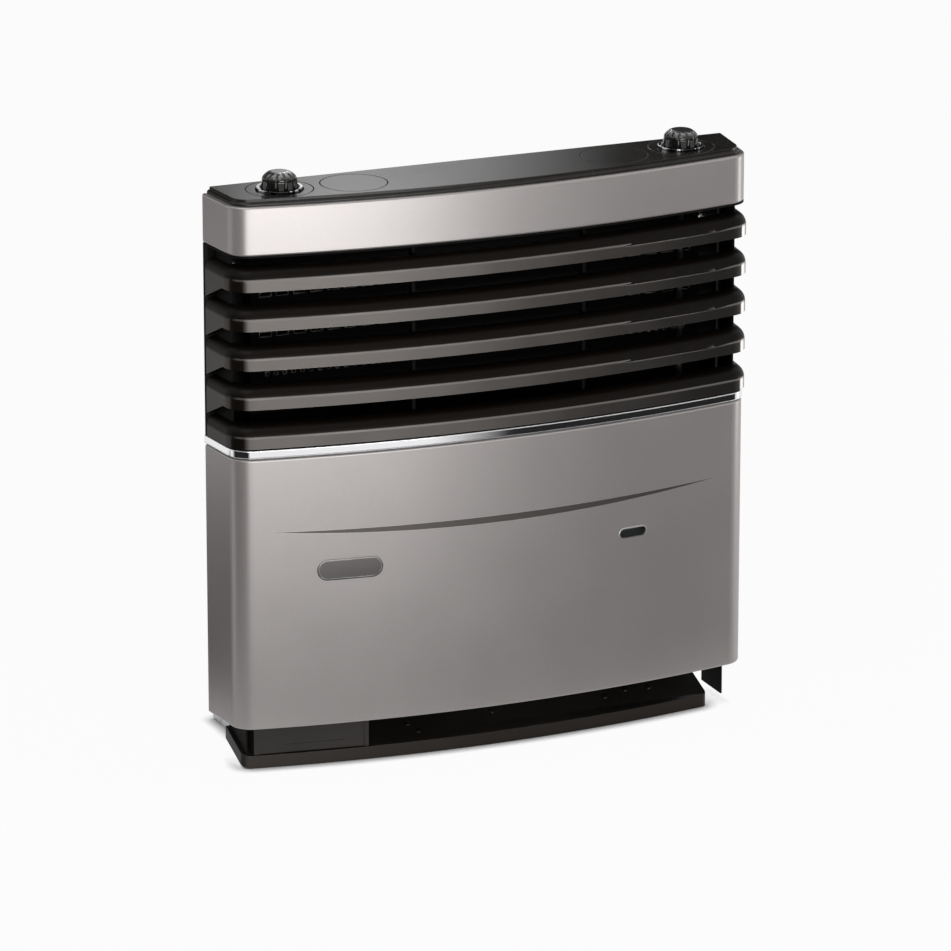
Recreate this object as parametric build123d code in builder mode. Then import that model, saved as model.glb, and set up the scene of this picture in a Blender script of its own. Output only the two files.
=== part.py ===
from build123d import *
import math
import os

# Caravan gas heater. Millimetres, +Z up, the front faces -Y, the floor is Z = 0
# and the wall that the casing stands against is the plane Y = 0.

# Casing outline, seen from above
casing_width = 525.0
side_depth = 62.0
front_bow = 27.0
side_draw = 6.5
corner_radius = 22.0
sheet = 1.5
flange_width = 8.0

# Casing heights
floor_gap = 44.0
panel_height = 260.4
trim_shadow = 1.9
trim_height = 7.5
grille_height = 182.6
band_height = 45.9
cover_rise = 5.8

# Lower panel
slot_drop = 109.7
slot_length = 28.0
slot_height = 9.0
crescent_margin = 40.5
crescent_drop = 70.4
crescent_top_sag = 3.5
crescent_bottom_sag = 10.0
groove_depth = 0.7
glass_margin = 3.0
glass_thickness = 1.5
trim_proud = 1.0
trim_recess = 2.5

# Louvre grille
slat_count = 5
slat_height = 21.6
slat_head = 11.1
slat_proud = 2.5
slat_depth = 16.0
slat_round = 12.0
slat_wall = 3.0
slat_channel = 9.0
rail_thickness = 1.5
rail_width = 22.0
post_depth = 9.0
post_width = 9.0
cheek_inset = 6.0
cheek_thickness = 2.0
cheek_reach = 42.0
rib_spacing = 170.0
rib_thickness = 3.0
rib_depth = 8.0
fit_gap = 0.2

# Top cover and its four round positions
cover_inset = 7.0
cover_tier = 2.6
tier_bevel = 1.5
band_rim = 4.3
edge_round = 2.0
cover_skirt = 12.0
cover_wall = 3.0
control_setback = 44.0
knob_setback = 40.0
knob_inset = 62.5
disc_spacing = 70.4
disc_radius = 31.2
disc_thickness = 2.4
disc_ledge = 3.0
disc_lip = 0.7
rim_height = 2.4

# Knobs, with the well that a pressed knob sinks into
knob_radius = 17.5
knob_height = 17.8
knob_sink = 1.0
knob_travel = 6.0
knob_flutes = 12
knob_draw = 1.5
dome_start = 10.0
dome_shoulder = (13.4, 15.0)
dome_flat = 7.0
foot_flange = 1.0
flute_bottom = 2.0
flute_radius = 2.4
flute_offset = 0.4
flute_height = 11.0
ring_outer = 21.4
ring_inner = 18.2
ring_height = 2.4
ring_round = 0.6
well_radius = 22.4
well_depth = 8.0
well_wall = 2.0
bush_side = 12.0
bush_length = 18.0
bush_clearance = 0.1
rod_radius = 3.0
running_gap = 0.05
rod_grip = 9.0
control_width = 34.0
control_depth = 28.0
control_height = 16.0
control_round = 3.0
spindle_socket = 8.0

# Gas valve at the lower right, under the gas knob
shelf_height = 60.0
shelf_thickness = 2.0
shelf_upstand = 20.0
valve_width = 50.0
valve_depth = 40.0
valve_height = 40.0
valve_round = 5.0
valve_chamfer = 1.5
valve_boss = 6.0
valve_boss_radius = 8.0
plunger_side = 9.0
plunger_socket = 12.0
plunger_flange = 18.0
plunger_flange_height = 3.0
spring_height = 16.0
spring_radius = 8.6
spring_wire = 1.4
spring_turns = 5
coil_end_gap = 0.1
spindle_radius = 2.5
spindle_tail = 22.0
collar_radius = 6.0
collar_height = 3.0
tongue_width = 4.0
tongue_length = 8.0
tongue_height = 12.0
fork_radius = 7.0
fork_height = 14.0
fork_gap = 1.0
tongue_gap = 0.2

# Installation box and wall flange
flange_margin = 9.7
head_gap = 6.1
box_depth = 100.0
wall_flange = 32.8
wall_hole_inset = 15.0
flange_foot = 50.0
flange_top = 20.0
wall_hole_margin = 60.0
wall_hole_radius = 2.5
wall_gap = 2.0
floor_lip = 20.0
bracket_inset = 21.2
bracket_reach = 45.0
bracket_foot = 9.0
bracket_top = 100.0
bracket_bevel = 22.5
clip_height = 14.0
clip_thickness = 1.2
clip_reach = 14.0
clip_gap = 0.3
clip_rise = 94.0
clip_seat = 5.6

# Base tray
rail_left_inset = 16.5
rail_right_inset = 36.5
rail_setback = 19.5
ledge_rear = 46.0
tray_corner = 8.0
rail_height = 12.0
tray_slope = 0.35
tray_sheet = 1.5
tray_foot = 10.0
leg_width = 15.0
leg_sink = 0.75

# Igniter box on the base tray
igniter_inset = 11.0
igniter_width = 108.0
igniter_setback = 23.0
igniter_back = 8.0
igniter_top = 43.0
igniter_wall = 2.0
cover_thickness = 2.0
battery_radius = 7.1
battery_length = 50.0
battery_tip = 1.0
battery_tip_radius = 2.4
cover_lift = 1.0
grip_width = 4.0
grip_proud = 1.2
mark_length = 56.0
mark_rise = 8.0
mark_shift = 4.0
mark_height = 1.2
mark_depth = 0.8

# Heater
guard_overlap = 5.0
guard_drop = 23.8
guard_rise = 3.6
guard_reach = 20.0
guard_slot_pitch = 16.8
guard_slot_length = 11.0
guard_slot_height = 4.0
guard_slot_margin = 6.0
guard_dot_pitch = 8.7
guard_dot_side = 3.2
guard_dot_margin = 10.0
guard_row_drop = 49.9
guard_row_gap = 37.8
exchanger_margin = 55.0
exchanger_front = 8.0
exchanger_rear_gap = 12.0
exchanger_bottom = 95.0
exchanger_head = 30.0
exchanger_round = 18.0
fin_pitch = 17.0
fin_thickness = 2.0
fin_depth = 18.0
fin_rise = 45.3
sight_inset = 33.0
sight_radius = 14.0
sight_glass_radius = 10.0
sight_reach = 12.0
sight_step = 2.0
sight_seat = 3.0
sight_glass_thickness = 2.0
chamber_inset = 50.0
chamber_bottom = 1.5
chamber_wall = 2.0
chamber_front = 12.0
chamber_rear_gap = 16.0
burner_radius = 11.0
burner_setback = 34.0
burner_z = 56.0
burner_margin = 15.0
burner_slot_pitch = 14.0
burner_slot_width = 4.0
jet_radius = 7.0
jet_length = 26.0
jet_reach = 8.0
jet_flange = 3.0
burner_wall = 1.5
pipe_radius = 4.0
pipe_bend = 9.0
pipe_setback = 52.0
electrode_x = -70.0
thermocouple_x = -40.0
probe_rise = 20.0
probe_reach = 12.0
probe_length = 24.0
probe_tip = 12.0
electrode_radius = 3.0
electrode_collar = 6.0
electrode_wire = 0.8
thermocouple_radius = 2.0
thermocouple_collar = 4.0
thermocouple_reach = 6.0
bulb_reach = 105.0
bulb_length = 70.0
bulb_radius = 4.0
bulb_front = 40.0
bulb_drop = 5.5
tube_radius = 1.2
tube_bend = 5.0
tube_bend_out = 7.0
tube_rise = 28.0
clip_width = 10.0

# Flue, air intake and gas inlet at the rear
flue_inset = 55.0
flue_drop = 50.0
flue_radius = 27.5
intake_inset = 55.0
intake_z = 62.0
intake_radius = 25.0
spigot_wall = 1.5
spigot_step = 0.5
spigot_reach = 35.0
seal_width = 6.0
seal_thickness = 4.0
seal_bevel = 1.0
hole_gap = 0.5
inlet_rise = 18.0
inlet_reach = 20.0
inlet_step = 0.3

# Warm-air fan
fan_z = 250.0
fan_radius = 72.0
fan_depth = 58.0
fan_wall = 2.0
outlet_reach = 100.0
outlet_radius = 27.0
outlet_height = 60.0
outlet_spigot = 28.0
eye_radius = 42.0
impeller_radius = 58.0
impeller_depth = 38.0
impeller_wall = 2.0
blade_count = 18
blade_length = 14.0
blade_pitch_angle = 35.0
fan_gap = 6.0
fan_round = 5.0
hub_inset = 12.0
shaft_clearance = 1.0
shaft_radius = 3.0
shaft_reach = 16.0
hub_radius = 6.0
motor_radius = 30.0
motor_length = 32.0
motor_bevel = 4.0

# Levels and places that follow from the sizes above
panel_bottom = floor_gap
panel_top = panel_bottom + panel_height
trim_top = panel_top + trim_shadow + trim_height
grille_bottom = trim_top
grille_top = grille_bottom + grille_height
band_top = grille_top + band_height
cover_top = band_top + cover_rise
slat_base = grille_bottom + rail_thickness
slat_pitch = (grille_top - slat_head - slat_height - slat_base) / (slat_count - 1)
tier_top = cover_top - cover_tier
cover_bottom = band_top - cover_skirt + cover_rise
front_half = casing_width / 2 - side_draw
bow_radius = (front_half**2 + front_bow**2) / (2 * front_bow)
valve_top = shelf_height + shelf_thickness + valve_height
spring_top = valve_top + spring_height
collar_bottom = spring_top + plunger_flange_height
tongue_bottom = collar_bottom + collar_height
fork_bottom = tongue_bottom + fork_gap
knob_bottom = cover_top - knob_sink
front_cut = front_bow + corner_radius
crescent_span = casing_width - 2 * crescent_margin
knob_x = casing_width / 2 - knob_inset
disc_x = knob_x - disc_spacing
box_width = casing_width - 2 * (wall_flange + flange_margin)
box_height = cover_bottom - head_gap - flange_top
half_box = box_width / 2
flange_half = half_box + wall_flange
wall_hole_x = half_box + wall_hole_inset
wall_hole_low = flange_foot + wall_hole_margin
wall_hole_high = box_height + flange_top - wall_hole_margin
bracket_x = casing_width / 2 - bracket_inset
clip_low = panel_bottom + clip_rise
clip_high = grille_top + clip_seat
rail_left = rail_left_inset - casing_width / 2
rail_right = casing_width / 2 - rail_right_inset
igniter_left = rail_left + igniter_inset
igniter_right = igniter_left + igniter_width
guard_width = box_width + 2 * guard_overlap
guard_bottom = grille_bottom - guard_drop
guard_top = grille_top + guard_rise
guard_row_top = grille_top - guard_row_drop
guard_slot_count = int((guard_width - 2 * guard_slot_margin) / guard_slot_pitch)
guard_dot_count = int((guard_width - 2 * guard_dot_margin) / guard_dot_pitch)
exchanger_width = box_width - 2 * exchanger_margin
exchanger_back = box_depth - exchanger_rear_gap
exchanger_top = box_height - exchanger_head
slot_x = exchanger_width / 2 - sight_inset
slot_z = panel_top - slot_drop
fin_count = int(exchanger_width / fin_pitch)
fin_bottom = slot_z + fin_rise
chamber_width = exchanger_width - 2 * chamber_inset
chamber_back = box_depth - chamber_rear_gap
burner_y = chamber_front + burner_setback
burner_slots = int((chamber_width - 2 * burner_margin) / burner_slot_pitch)
probe_z = burner_z + probe_rise
pipe_bend_x = knob_x - pipe_setback
valve_bottom = shelf_height + shelf_thickness
inlet_z = valve_bottom + inlet_rise
bulb_x = knob_x - bulb_reach
bulb_z = shelf_height - bulb_drop
tube_level = valve_bottom + tube_rise
flue_x = flue_inset - exchanger_width / 2
flue_z = exchanger_top - flue_drop
intake_x = chamber_width / 2 - intake_inset


def front_y(x):
    """Y of the casing's bowed front at the place x."""
    return -side_depth - front_bow + bow_radius - math.sqrt(bow_radius**2 - x**2)


def side_x(y):
    """Half the casing's width at the depth y."""
    return casing_width / 2 + side_draw * y / side_depth


knob_y = front_y(knob_x) + knob_setback
disc_y = front_y(disc_x) + control_setback


def plan(inset, rear=0.0, front=-casing_width):
    """Casing outline seen from above, moved in by inset and kept from front to rear."""
    lead = side_depth
    with BuildSketch(mode=Mode.PRIVATE) as outline:
        with BuildLine():
            left = Line((-side_x(lead), lead), (-front_half, -side_depth))
            ThreePointArc(left @ 1, (0, -side_depth - front_bow), (front_half, -side_depth))
            right = Line((front_half, -side_depth), (side_x(lead), lead))
            Line(right @ 1, left @ 0)
        make_face()
        fillet(outline.vertices().sort_by(Axis.Y)[:2], corner_radius)
        if inset != 0:
            offset(amount=-inset)
        with Locations((0, rear)):
            Rectangle(2 * casing_width, rear - front, align=(Align.CENTER, Align.MAX), mode=Mode.INTERSECT)
    return outline.sketch


def ring(outer, inner, rear=0.0, front=-casing_width):
    """Strip of the casing outline between two insets, open towards the wall."""
    with BuildSketch(mode=Mode.PRIVATE) as strip:
        add(plan(outer, rear, front))
        add(plan(inner, rear, front), mode=Mode.SUBTRACT)
    return strip.sketch


def outline_edges(piece, level):
    """Edges of the casing's outer outline at one height, without the rear ends."""
    outline = plan(0).face().outer_wire()
    edges = piece.edges().filter_by(lambda edge: abs(edge.center().Z - level) < fit_gap)
    edges = edges.filter_by(lambda edge: edge.center().Y < -fit_gap)
    return edges.filter_by(lambda edge: outline.distance_to(edge.center() - Vector(0, 0, level)) < fit_gap)


def tray_top(y):
    """Height of the tray's upper face at the depth y: a flat ledge, then the apron."""
    return rail_height + tray_slope * max(ledge_rear + y, 0)


def tray_block(inset, under):
    """Form of the base tray moved in by inset, with the underside's front and rear height."""
    with BuildPart(mode=Mode.PRIVATE) as block:
        with BuildSketch(Plane.XY.offset(-rail_height)):
            with BuildLine():
                left = Line((rail_left, side_depth), (rail_left, rail_front(rail_left)))
                ThreePointArc(left @ 1, (0, rail_front(0)), (rail_right, rail_front(rail_right)))
                right = Line((rail_right, rail_front(rail_right)), (rail_right, side_depth))
                Line(right @ 1, left @ 0)
            outline = make_face()
            fillet(outline.vertices().sort_by(Axis.Y)[:2], tray_corner)
            if inset != 0:
                offset(amount=-inset)
        extrude(amount=tray_top(0) + rail_height)
        with BuildSketch(Plane.YZ.offset(rail_left)):
            with BuildLine():
                Polyline(
                    (-casing_width, under[0]),
                    (-casing_width, rail_height - inset),
                    (-ledge_rear, rail_height - inset),
                    (0, tray_top(0) - inset),
                    (0, under[1]),
                    (-ledge_rear, under[0]),
                    close=True,
                )
            make_face()
        extrude(amount=rail_right - rail_left, mode=Mode.INTERSECT)
    return block.part


def rail_front(x):
    """Y of the base rail's bowed front at the place x."""
    return front_y(x) + rail_setback


def igniter_front(x):
    """Y of the igniter box's straight front at the place x."""
    left = front_y(igniter_left) + igniter_setback
    right = front_y(igniter_right) + igniter_setback
    return left + (right - left) * (x - igniter_left) / igniter_width


def igniter_block(wall):
    """Form of the igniter box, one wall smaller at the sides, rear, top and floor."""
    with BuildPart(mode=Mode.PRIVATE) as block:
        with BuildSketch():
            with BuildLine():
                Polyline(
                    (igniter_left + wall, igniter_front(igniter_left + wall)),
                    (igniter_right - wall, igniter_front(igniter_right - wall)),
                    (igniter_right - wall, -igniter_back - wall),
                    (igniter_left + wall, -igniter_back - wall),
                    close=True,
                )
            make_face()
        extrude(amount=igniter_top - wall)
        with BuildSketch(Plane.YZ.offset(igniter_left)):
            with BuildLine():
                Polyline(
                    (-casing_width, rail_height + fit_gap + wall),
                    (-ledge_rear, rail_height + fit_gap + wall),
                    (0, tray_top(0) + fit_gap + wall),
                    (0, igniter_top),
                    (-casing_width, igniter_top),
                    close=True,
                )
            make_face()
        extrude(amount=igniter_width, mode=Mode.INTERSECT)
    return block.part


def finish(piece, label):
    """Name a finished piece and write it."""
    piece.part.label = label
    export_step(piece.part, f"parts/{label}.step")


os.makedirs("parts", exist_ok=True)

# Lower panel: bowed sheet with inward flanges, a crescent groove and a window slot
crescent_z = panel_top - crescent_drop

with BuildPart() as crescent:
    with BuildSketch(Plane.XZ.offset(side_depth)):
        with BuildLine():
            left_tip = (-crescent_span / 2, crescent_z)
            right_tip = (crescent_span / 2, crescent_z)
            ThreePointArc(left_tip, (0, crescent_z - crescent_top_sag), right_tip)
            ThreePointArc(right_tip, (0, crescent_z - crescent_bottom_sag), left_tip)
        make_face()
    extrude(amount=front_cut)
    with BuildSketch(Plane.XY.offset(panel_bottom)):
        add(plan(groove_depth))
    extrude(amount=panel_height, mode=Mode.SUBTRACT)

with BuildPart() as lower_panel:
    with BuildSketch(Plane.XY.offset(panel_bottom)):
        add(ring(0, sheet))
    extrude(amount=panel_height)
    with BuildSketch(Plane.XY.offset(panel_bottom)):
        add(ring(0, flange_width))
    extrude(amount=sheet)
    with BuildSketch(Plane.XY.offset(panel_top - sheet)):
        add(ring(0, flange_width))
    extrude(amount=sheet)
    fillet(outline_edges(lower_panel, panel_top), edge_round)
    fillet(outline_edges(lower_panel, panel_bottom), edge_round)
    add(crescent.part, mode=Mode.SUBTRACT)
    with BuildSketch(Plane.XZ.offset(side_depth)):
        with Locations((slot_x, slot_z)):
            SlotOverall(slot_length, slot_height)
    extrude(amount=front_cut, mode=Mode.SUBTRACT)
finish(lower_panel, "lower_panel")

# Window glass: a pill that follows the bow behind the slot
with BuildPart() as window_glass:
    with BuildSketch(Plane.XZ.offset(side_depth)):
        with Locations((slot_x, slot_z)):
            SlotOverall(slot_length + 2 * glass_margin, slot_height + 2 * glass_margin)
    extrude(amount=front_cut)
    with BuildSketch(Plane.XY.offset(panel_bottom)):
        add(ring(sheet, sheet + glass_thickness))
    extrude(amount=panel_height, mode=Mode.INTERSECT)
finish(window_glass, "window_glass")

# Chrome trim: a proud strip on a recessed foot, which leaves the dark line under it
with BuildPart() as chrome_trim:
    with BuildSketch(Plane.XY.offset(panel_top)):
        add(ring(trim_recess, flange_width))
    extrude(amount=trim_shadow)
    with BuildSketch(Plane.XY.offset(panel_top + trim_shadow)):
        add(ring(-trim_proud, flange_width))
    extrude(amount=trim_height)
    outer_face = chrome_trim.faces().sort_by(Axis.Z)[-1]
    chamfer(outer_face.edges().filter_by(GeomType.CIRCLE).sort_by(Axis.Y)[0], trim_proud)
finish(chrome_trim, "chrome_trim")

# Grille frame: two rails, two rear posts, two side cheeks and two ribs behind the slats
with BuildPart() as grille_frame:
    for level in (grille_bottom, grille_top - rail_thickness):
        with BuildSketch(Plane.XY.offset(level)):
            add(ring(0, rail_width, rear=-wall_gap))
        extrude(amount=rail_thickness)
    with BuildSketch(Plane.XY.offset(grille_bottom)):
        add(ring(0, post_width, front=-post_depth))
    extrude(amount=grille_height)
    with BuildSketch(Plane.XY.offset(grille_bottom)):
        add(ring(cheek_inset, cheek_inset + cheek_thickness, front=-cheek_reach))
    extrude(amount=grille_height)
    with BuildSketch(Plane.XY.offset(grille_bottom)):
        with Locations((-rib_spacing / 2, 0), (rib_spacing / 2, 0)):
            Rectangle(rib_thickness, casing_width)
        rib_inset = slat_depth - slat_proud + fit_gap
        add(ring(rib_inset, rib_inset + rib_depth), mode=Mode.INTERSECT)
    extrude(amount=grille_height)
finish(grille_frame, "grille_frame")

# Louvre slats: upright nose, rounded back to the ridge, hollow underneath, and side
# returns on the cheeks with a wing that reaches down to the slat below at the rear
for slat_index in range(slat_count):
    slat_z = slat_base + (slat_count - 1 - slat_index) * slat_pitch
    with BuildPart() as louvre_slat:
        with BuildSketch(Plane.XY.offset(slat_z)):
            add(plan(-slat_proud, rear=-post_depth))
        extrude(amount=slat_height)
        ridge_edges = louvre_slat.faces().sort_by(Axis.Z)[-1].edges().sort_by(Axis.Y)[:-1]
        fillet(ridge_edges, slat_round)
        with BuildSketch(Plane.XY.offset(slat_z)):
            add(plan(slat_depth - slat_proud, rear=-cheek_reach))
            add(plan(cheek_inset - fit_gap, front=-cheek_reach))
        extrude(amount=slat_height, mode=Mode.SUBTRACT)
        with BuildSketch(Plane.XY.offset(slat_z)):
            hollow_rear = -cheek_reach - slat_wall
            add(ring(slat_wall - slat_proud, slat_depth - slat_proud - slat_wall, rear=hollow_rear))
        extrude(amount=slat_channel, mode=Mode.SUBTRACT)
        if slat_index < slat_count - 1:
            wing_drop = slat_pitch - slat_height - fit_gap
            with BuildSketch(Plane.XY.offset(slat_z)):
                add(ring(-slat_proud, cheek_inset - fit_gap, rear=-post_depth, front=-cheek_reach))
            extrude(amount=-wing_drop)
            with BuildSketch(Plane.YZ):
                with BuildLine():
                    Polyline(
                        (-cheek_reach, slat_z),
                        (-post_depth, slat_z - wing_drop),
                        (-cheek_reach, slat_z - wing_drop),
                        close=True,
                    )
                make_face()
            extrude(amount=casing_width, both=True, mode=Mode.SUBTRACT)
    finish(louvre_slat, f"louvre_slat_{slat_index + 1}")

# Top band: bowed sheet with inward flanges; the upper one carries the cover
with BuildPart() as top_band:
    with BuildSketch(Plane.XY.offset(grille_top)):
        add(ring(0, sheet))
    extrude(amount=band_height)
    with BuildSketch(Plane.XY.offset(grille_top)):
        add(ring(0, flange_width))
    extrude(amount=sheet)
    with BuildSketch(Plane.XY.offset(cover_bottom - sheet)):
        add(ring(0, flange_width))
    extrude(amount=sheet)
    with BuildSketch(Plane.XY.offset(band_top - sheet)):
        add(ring(0, band_rim))
    extrude(amount=sheet)
    fillet(outline_edges(top_band, band_top), edge_round)
    fillet(outline_edges(top_band, grille_top), edge_round)
finish(top_band, "top_band")

# Top cover: two-step plate, hollow below, with four round seats
control_places = [(-knob_x, knob_y), (-disc_x, disc_y), (disc_x, disc_y), (knob_x, knob_y)]
with BuildPart() as top_cover:
    with BuildSketch(Plane.XY.offset(cover_bottom)):
        add(plan(band_rim + fit_gap))
    extrude(amount=tier_top - cover_bottom)
    chamfer(top_cover.faces().sort_by(Axis.Z)[-1].edges().sort_by(Axis.Y)[:-1], tier_bevel)
    with BuildSketch(Plane.XY.offset(tier_top)):
        add(plan(cover_inset))
    extrude(amount=cover_tier)
    with BuildSketch(Plane.XY.offset(cover_bottom)):
        add(plan(band_rim + fit_gap + cover_wall, rear=-cover_wall))
    extrude(amount=tier_top - cover_bottom - cover_wall, mode=Mode.SUBTRACT)
    with BuildSketch(Plane.XY.offset(cover_bottom)):
        with Locations(*control_places):
            Circle(disc_radius - disc_ledge)
    extrude(amount=cover_top - cover_bottom, mode=Mode.SUBTRACT)
    with BuildSketch(Plane.XY.offset(cover_top - disc_thickness)):
        with Locations(*control_places):
            Circle(disc_radius + fit_gap)
    extrude(amount=disc_thickness, mode=Mode.SUBTRACT)
finish(top_cover, "top_cover")

# Blanking caps: plain discs with a locating rim under them
for cap_name, cap_x in (("blanking_cap_left", -disc_x), ("blanking_cap_right", disc_x)):
    with BuildPart() as blanking_cap:
        with BuildSketch(Plane.XY.offset(cover_top - disc_thickness)):
            with Locations((cap_x, disc_y)):
                Circle(disc_radius)
        extrude(amount=disc_thickness)
        chamfer(blanking_cap.faces().sort_by(Axis.Z)[-1].edges(), disc_lip)
        rim_radius = disc_radius - disc_ledge - fit_gap
        with BuildSketch(Plane.XY.offset(cover_top - disc_thickness - rim_height)):
            with Locations((cap_x, disc_y)):
                Circle(rim_radius)
                Circle(rim_radius - cover_wall, mode=Mode.SUBTRACT)
        extrude(amount=rim_height)
    finish(blanking_cap, cap_name)

# Knob collars: discs with a well and a square hole for the bush or sleeve
for collar_name, collar_x in (("knob_collar_left", -knob_x), ("knob_collar_right", knob_x)):
    with BuildPart() as knob_collar:
        with BuildSketch(Plane.XY.offset(cover_top - disc_thickness)):
            with Locations((collar_x, knob_y)):
                Circle(disc_radius)
        extrude(amount=disc_thickness)
        chamfer(knob_collar.faces().sort_by(Axis.Z)[-1].edges(), disc_lip)
        with BuildSketch(Plane.XY.offset(cover_top - well_depth - well_wall)):
            with Locations((collar_x, knob_y)):
                Circle(well_radius + well_wall)
        extrude(amount=well_depth)
        with BuildSketch(Plane.XY.offset(cover_top - well_depth)):
            with Locations((collar_x, knob_y)):
                Circle(well_radius)
        extrude(amount=well_depth, mode=Mode.SUBTRACT)
        with BuildSketch(Plane.XY.offset(cover_top - well_depth - well_wall)):
            with Locations((collar_x, knob_y)):
                Rectangle(bush_side + 2 * bush_clearance, bush_side + 2 * bush_clearance)
        extrude(amount=well_wall, mode=Mode.SUBTRACT)
    finish(knob_collar, collar_name)

# Knobs: domed caps with finger flutes, a foot flange and a blind bore for the rod
for knob_name, knob_side in (("fan_knob", -1), ("gas_knob", 1)):
    with BuildPart() as knob:
        with BuildSketch(Plane.XZ):
            with BuildLine():
                bore_radius = rod_radius + running_gap
                foot = Polyline(
                    (0, rod_grip),
                    (bore_radius, rod_grip),
                    (bore_radius, 0),
                    (ring_outer, 0),
                    (ring_outer, foot_flange),
                    (knob_radius, foot_flange),
                    (knob_radius - knob_draw, dome_start),
                )
                dome = Spline(foot @ 1, dome_shoulder, (dome_flat, knob_height), tangents=((0, 1), (-1, 0)))
                Polyline(dome @ 1, (0, knob_height), foot @ 0)
            make_face()
        revolve(axis=Axis.Z)
        with BuildSketch(Plane.XY.offset(flute_bottom)):
            with PolarLocations(knob_radius + flute_offset, knob_flutes):
                Circle(flute_radius)
        extrude(amount=flute_height, mode=Mode.SUBTRACT)
    knob.part.move(Location((knob_side * knob_x, knob_y, knob_bottom)))
    finish(knob, knob_name)

    with BuildPart() as knob_ring:
        with BuildSketch(Plane.XY.offset(knob_bottom + foot_flange)):
            with Locations((knob_side * knob_x, knob_y)):
                Circle(ring_outer)
                Circle(ring_inner, mode=Mode.SUBTRACT)
        extrude(amount=ring_height)
        fillet(knob_ring.faces().sort_by(Axis.Z)[-1].edges(), ring_round)
    finish(knob_ring, knob_name + "_ring")

# Fan control: speed control hung under the cover, with a square neck in the collar
neck_bottom = cover_top - bush_length
with BuildPart() as fan_control:
    with BuildSketch(Plane.XY.offset(neck_bottom)):
        with Locations((-knob_x, knob_y)):
            Rectangle(bush_side, bush_side)
    extrude(amount=bush_length - well_depth)
    with BuildSketch(Plane.XY.offset(neck_bottom)):
        with Locations((-knob_x, knob_y)):
            Rectangle(control_width, control_depth)
    extrude(amount=-control_height)
    fillet(fan_control.edges().filter_by(Axis.Z).group_by(Axis.Z)[0], control_round)
    with BuildSketch(Plane.XY.offset(neck_bottom - spindle_socket)):
        with Locations((-knob_x, knob_y)):
            Circle(rod_radius + running_gap)
    extrude(amount=spindle_socket + bush_length, mode=Mode.SUBTRACT)
finish(fan_control, "fan_control")

# Fan spindle: from inside the control up into the fan knob
spindle_low = neck_bottom - spindle_socket + fit_gap
with BuildPart() as fan_spindle:
    with BuildSketch(Plane.XY.offset(spindle_low)):
        with Locations((-knob_x, knob_y)):
            Circle(rod_radius)
    extrude(amount=knob_bottom + rod_grip - fit_gap - spindle_low)
finish(fan_spindle, "fan_spindle")

# Push sleeve: square sleeve under the gas knob, which slides in the collar but can't turn
with BuildPart() as push_sleeve:
    with BuildSketch(Plane.XY.offset(knob_bottom - bush_length)):
        with Locations((knob_x, knob_y)):
            Rectangle(bush_side, bush_side)
            Circle(rod_radius + running_gap, mode=Mode.SUBTRACT)
    extrude(amount=bush_length)
finish(push_sleeve, "push_sleeve")

# Gas rod: from the knob down to a fork that drives the valve spindle's tongue
with BuildPart() as gas_rod:
    with BuildSketch(Plane.XY.offset(fork_bottom)):
        with Locations((knob_x, knob_y)):
            Circle(fork_radius)
    extrude(amount=fork_height)
    with BuildSketch(Plane.XY.offset(fork_bottom + fork_height)):
        with Locations((knob_x, knob_y)):
            Circle(rod_radius)
    extrude(amount=knob_bottom + rod_grip - fit_gap - fork_bottom - fork_height)
    with BuildSketch(Plane.XY.offset(fork_bottom)):
        with Locations((knob_x, knob_y)):
            Rectangle(tongue_width + 2 * tongue_gap, 2 * fork_radius)
    extrude(amount=tongue_height, mode=Mode.SUBTRACT)
finish(gas_rod, "gas_rod")

# Valve spindle: tongue above, collar on the plunger, tail down into the valve
with BuildPart() as valve_spindle:
    with BuildSketch(Plane.XY.offset(tongue_bottom)):
        with Locations((knob_x, knob_y)):
            Rectangle(tongue_width, tongue_length)
    extrude(amount=tongue_height)
    with BuildSketch(Plane.XY.offset(collar_bottom)):
        with Locations((knob_x, knob_y)):
            Circle(collar_radius)
    extrude(amount=collar_height)
    with BuildSketch(Plane.XY.offset(collar_bottom)):
        with Locations((knob_x, knob_y)):
            Circle(spindle_radius)
    extrude(amount=collar_bottom - valve_top + spindle_tail, dir=(0, 0, -1))
finish(valve_spindle, "valve_spindle")

# Valve plunger: flange under the spindle's collar, square stem that slides in the valve
with BuildPart() as valve_plunger:
    with BuildSketch(Plane.XY.offset(spring_top)):
        with Locations((knob_x, knob_y)):
            Rectangle(plunger_flange, plunger_flange)
    extrude(amount=plunger_flange_height)
    with BuildSketch(Plane.XY.offset(valve_top - plunger_socket)):
        with Locations((knob_x, knob_y)):
            Rectangle(plunger_side, plunger_side)
    extrude(amount=plunger_socket + spring_height)
    with BuildSketch(Plane.XY.offset(valve_top - plunger_socket)):
        with Locations((knob_x, knob_y)):
            Circle(spindle_radius + running_gap)
    extrude(amount=collar_bottom - valve_top + plunger_socket, mode=Mode.SUBTRACT)
finish(valve_plunger, "valve_plunger")

# Valve spring: returns the plunger
coil_height = spring_height - spring_wire - 2 * coil_end_gap
with BuildPart() as valve_spring:
    with BuildLine() as coil:
        Helix(
            pitch=coil_height / spring_turns,
            height=coil_height,
            radius=spring_radius,
            center=(knob_x, knob_y, valve_top + coil_end_gap + spring_wire / 2),
        )
    with BuildSketch(Plane(origin=coil.line @ 0, z_dir=coil.line % 0)):
        Circle(spring_wire / 2)
    sweep(path=coil.line)
finish(valve_spring, "valve_spring")

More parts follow.
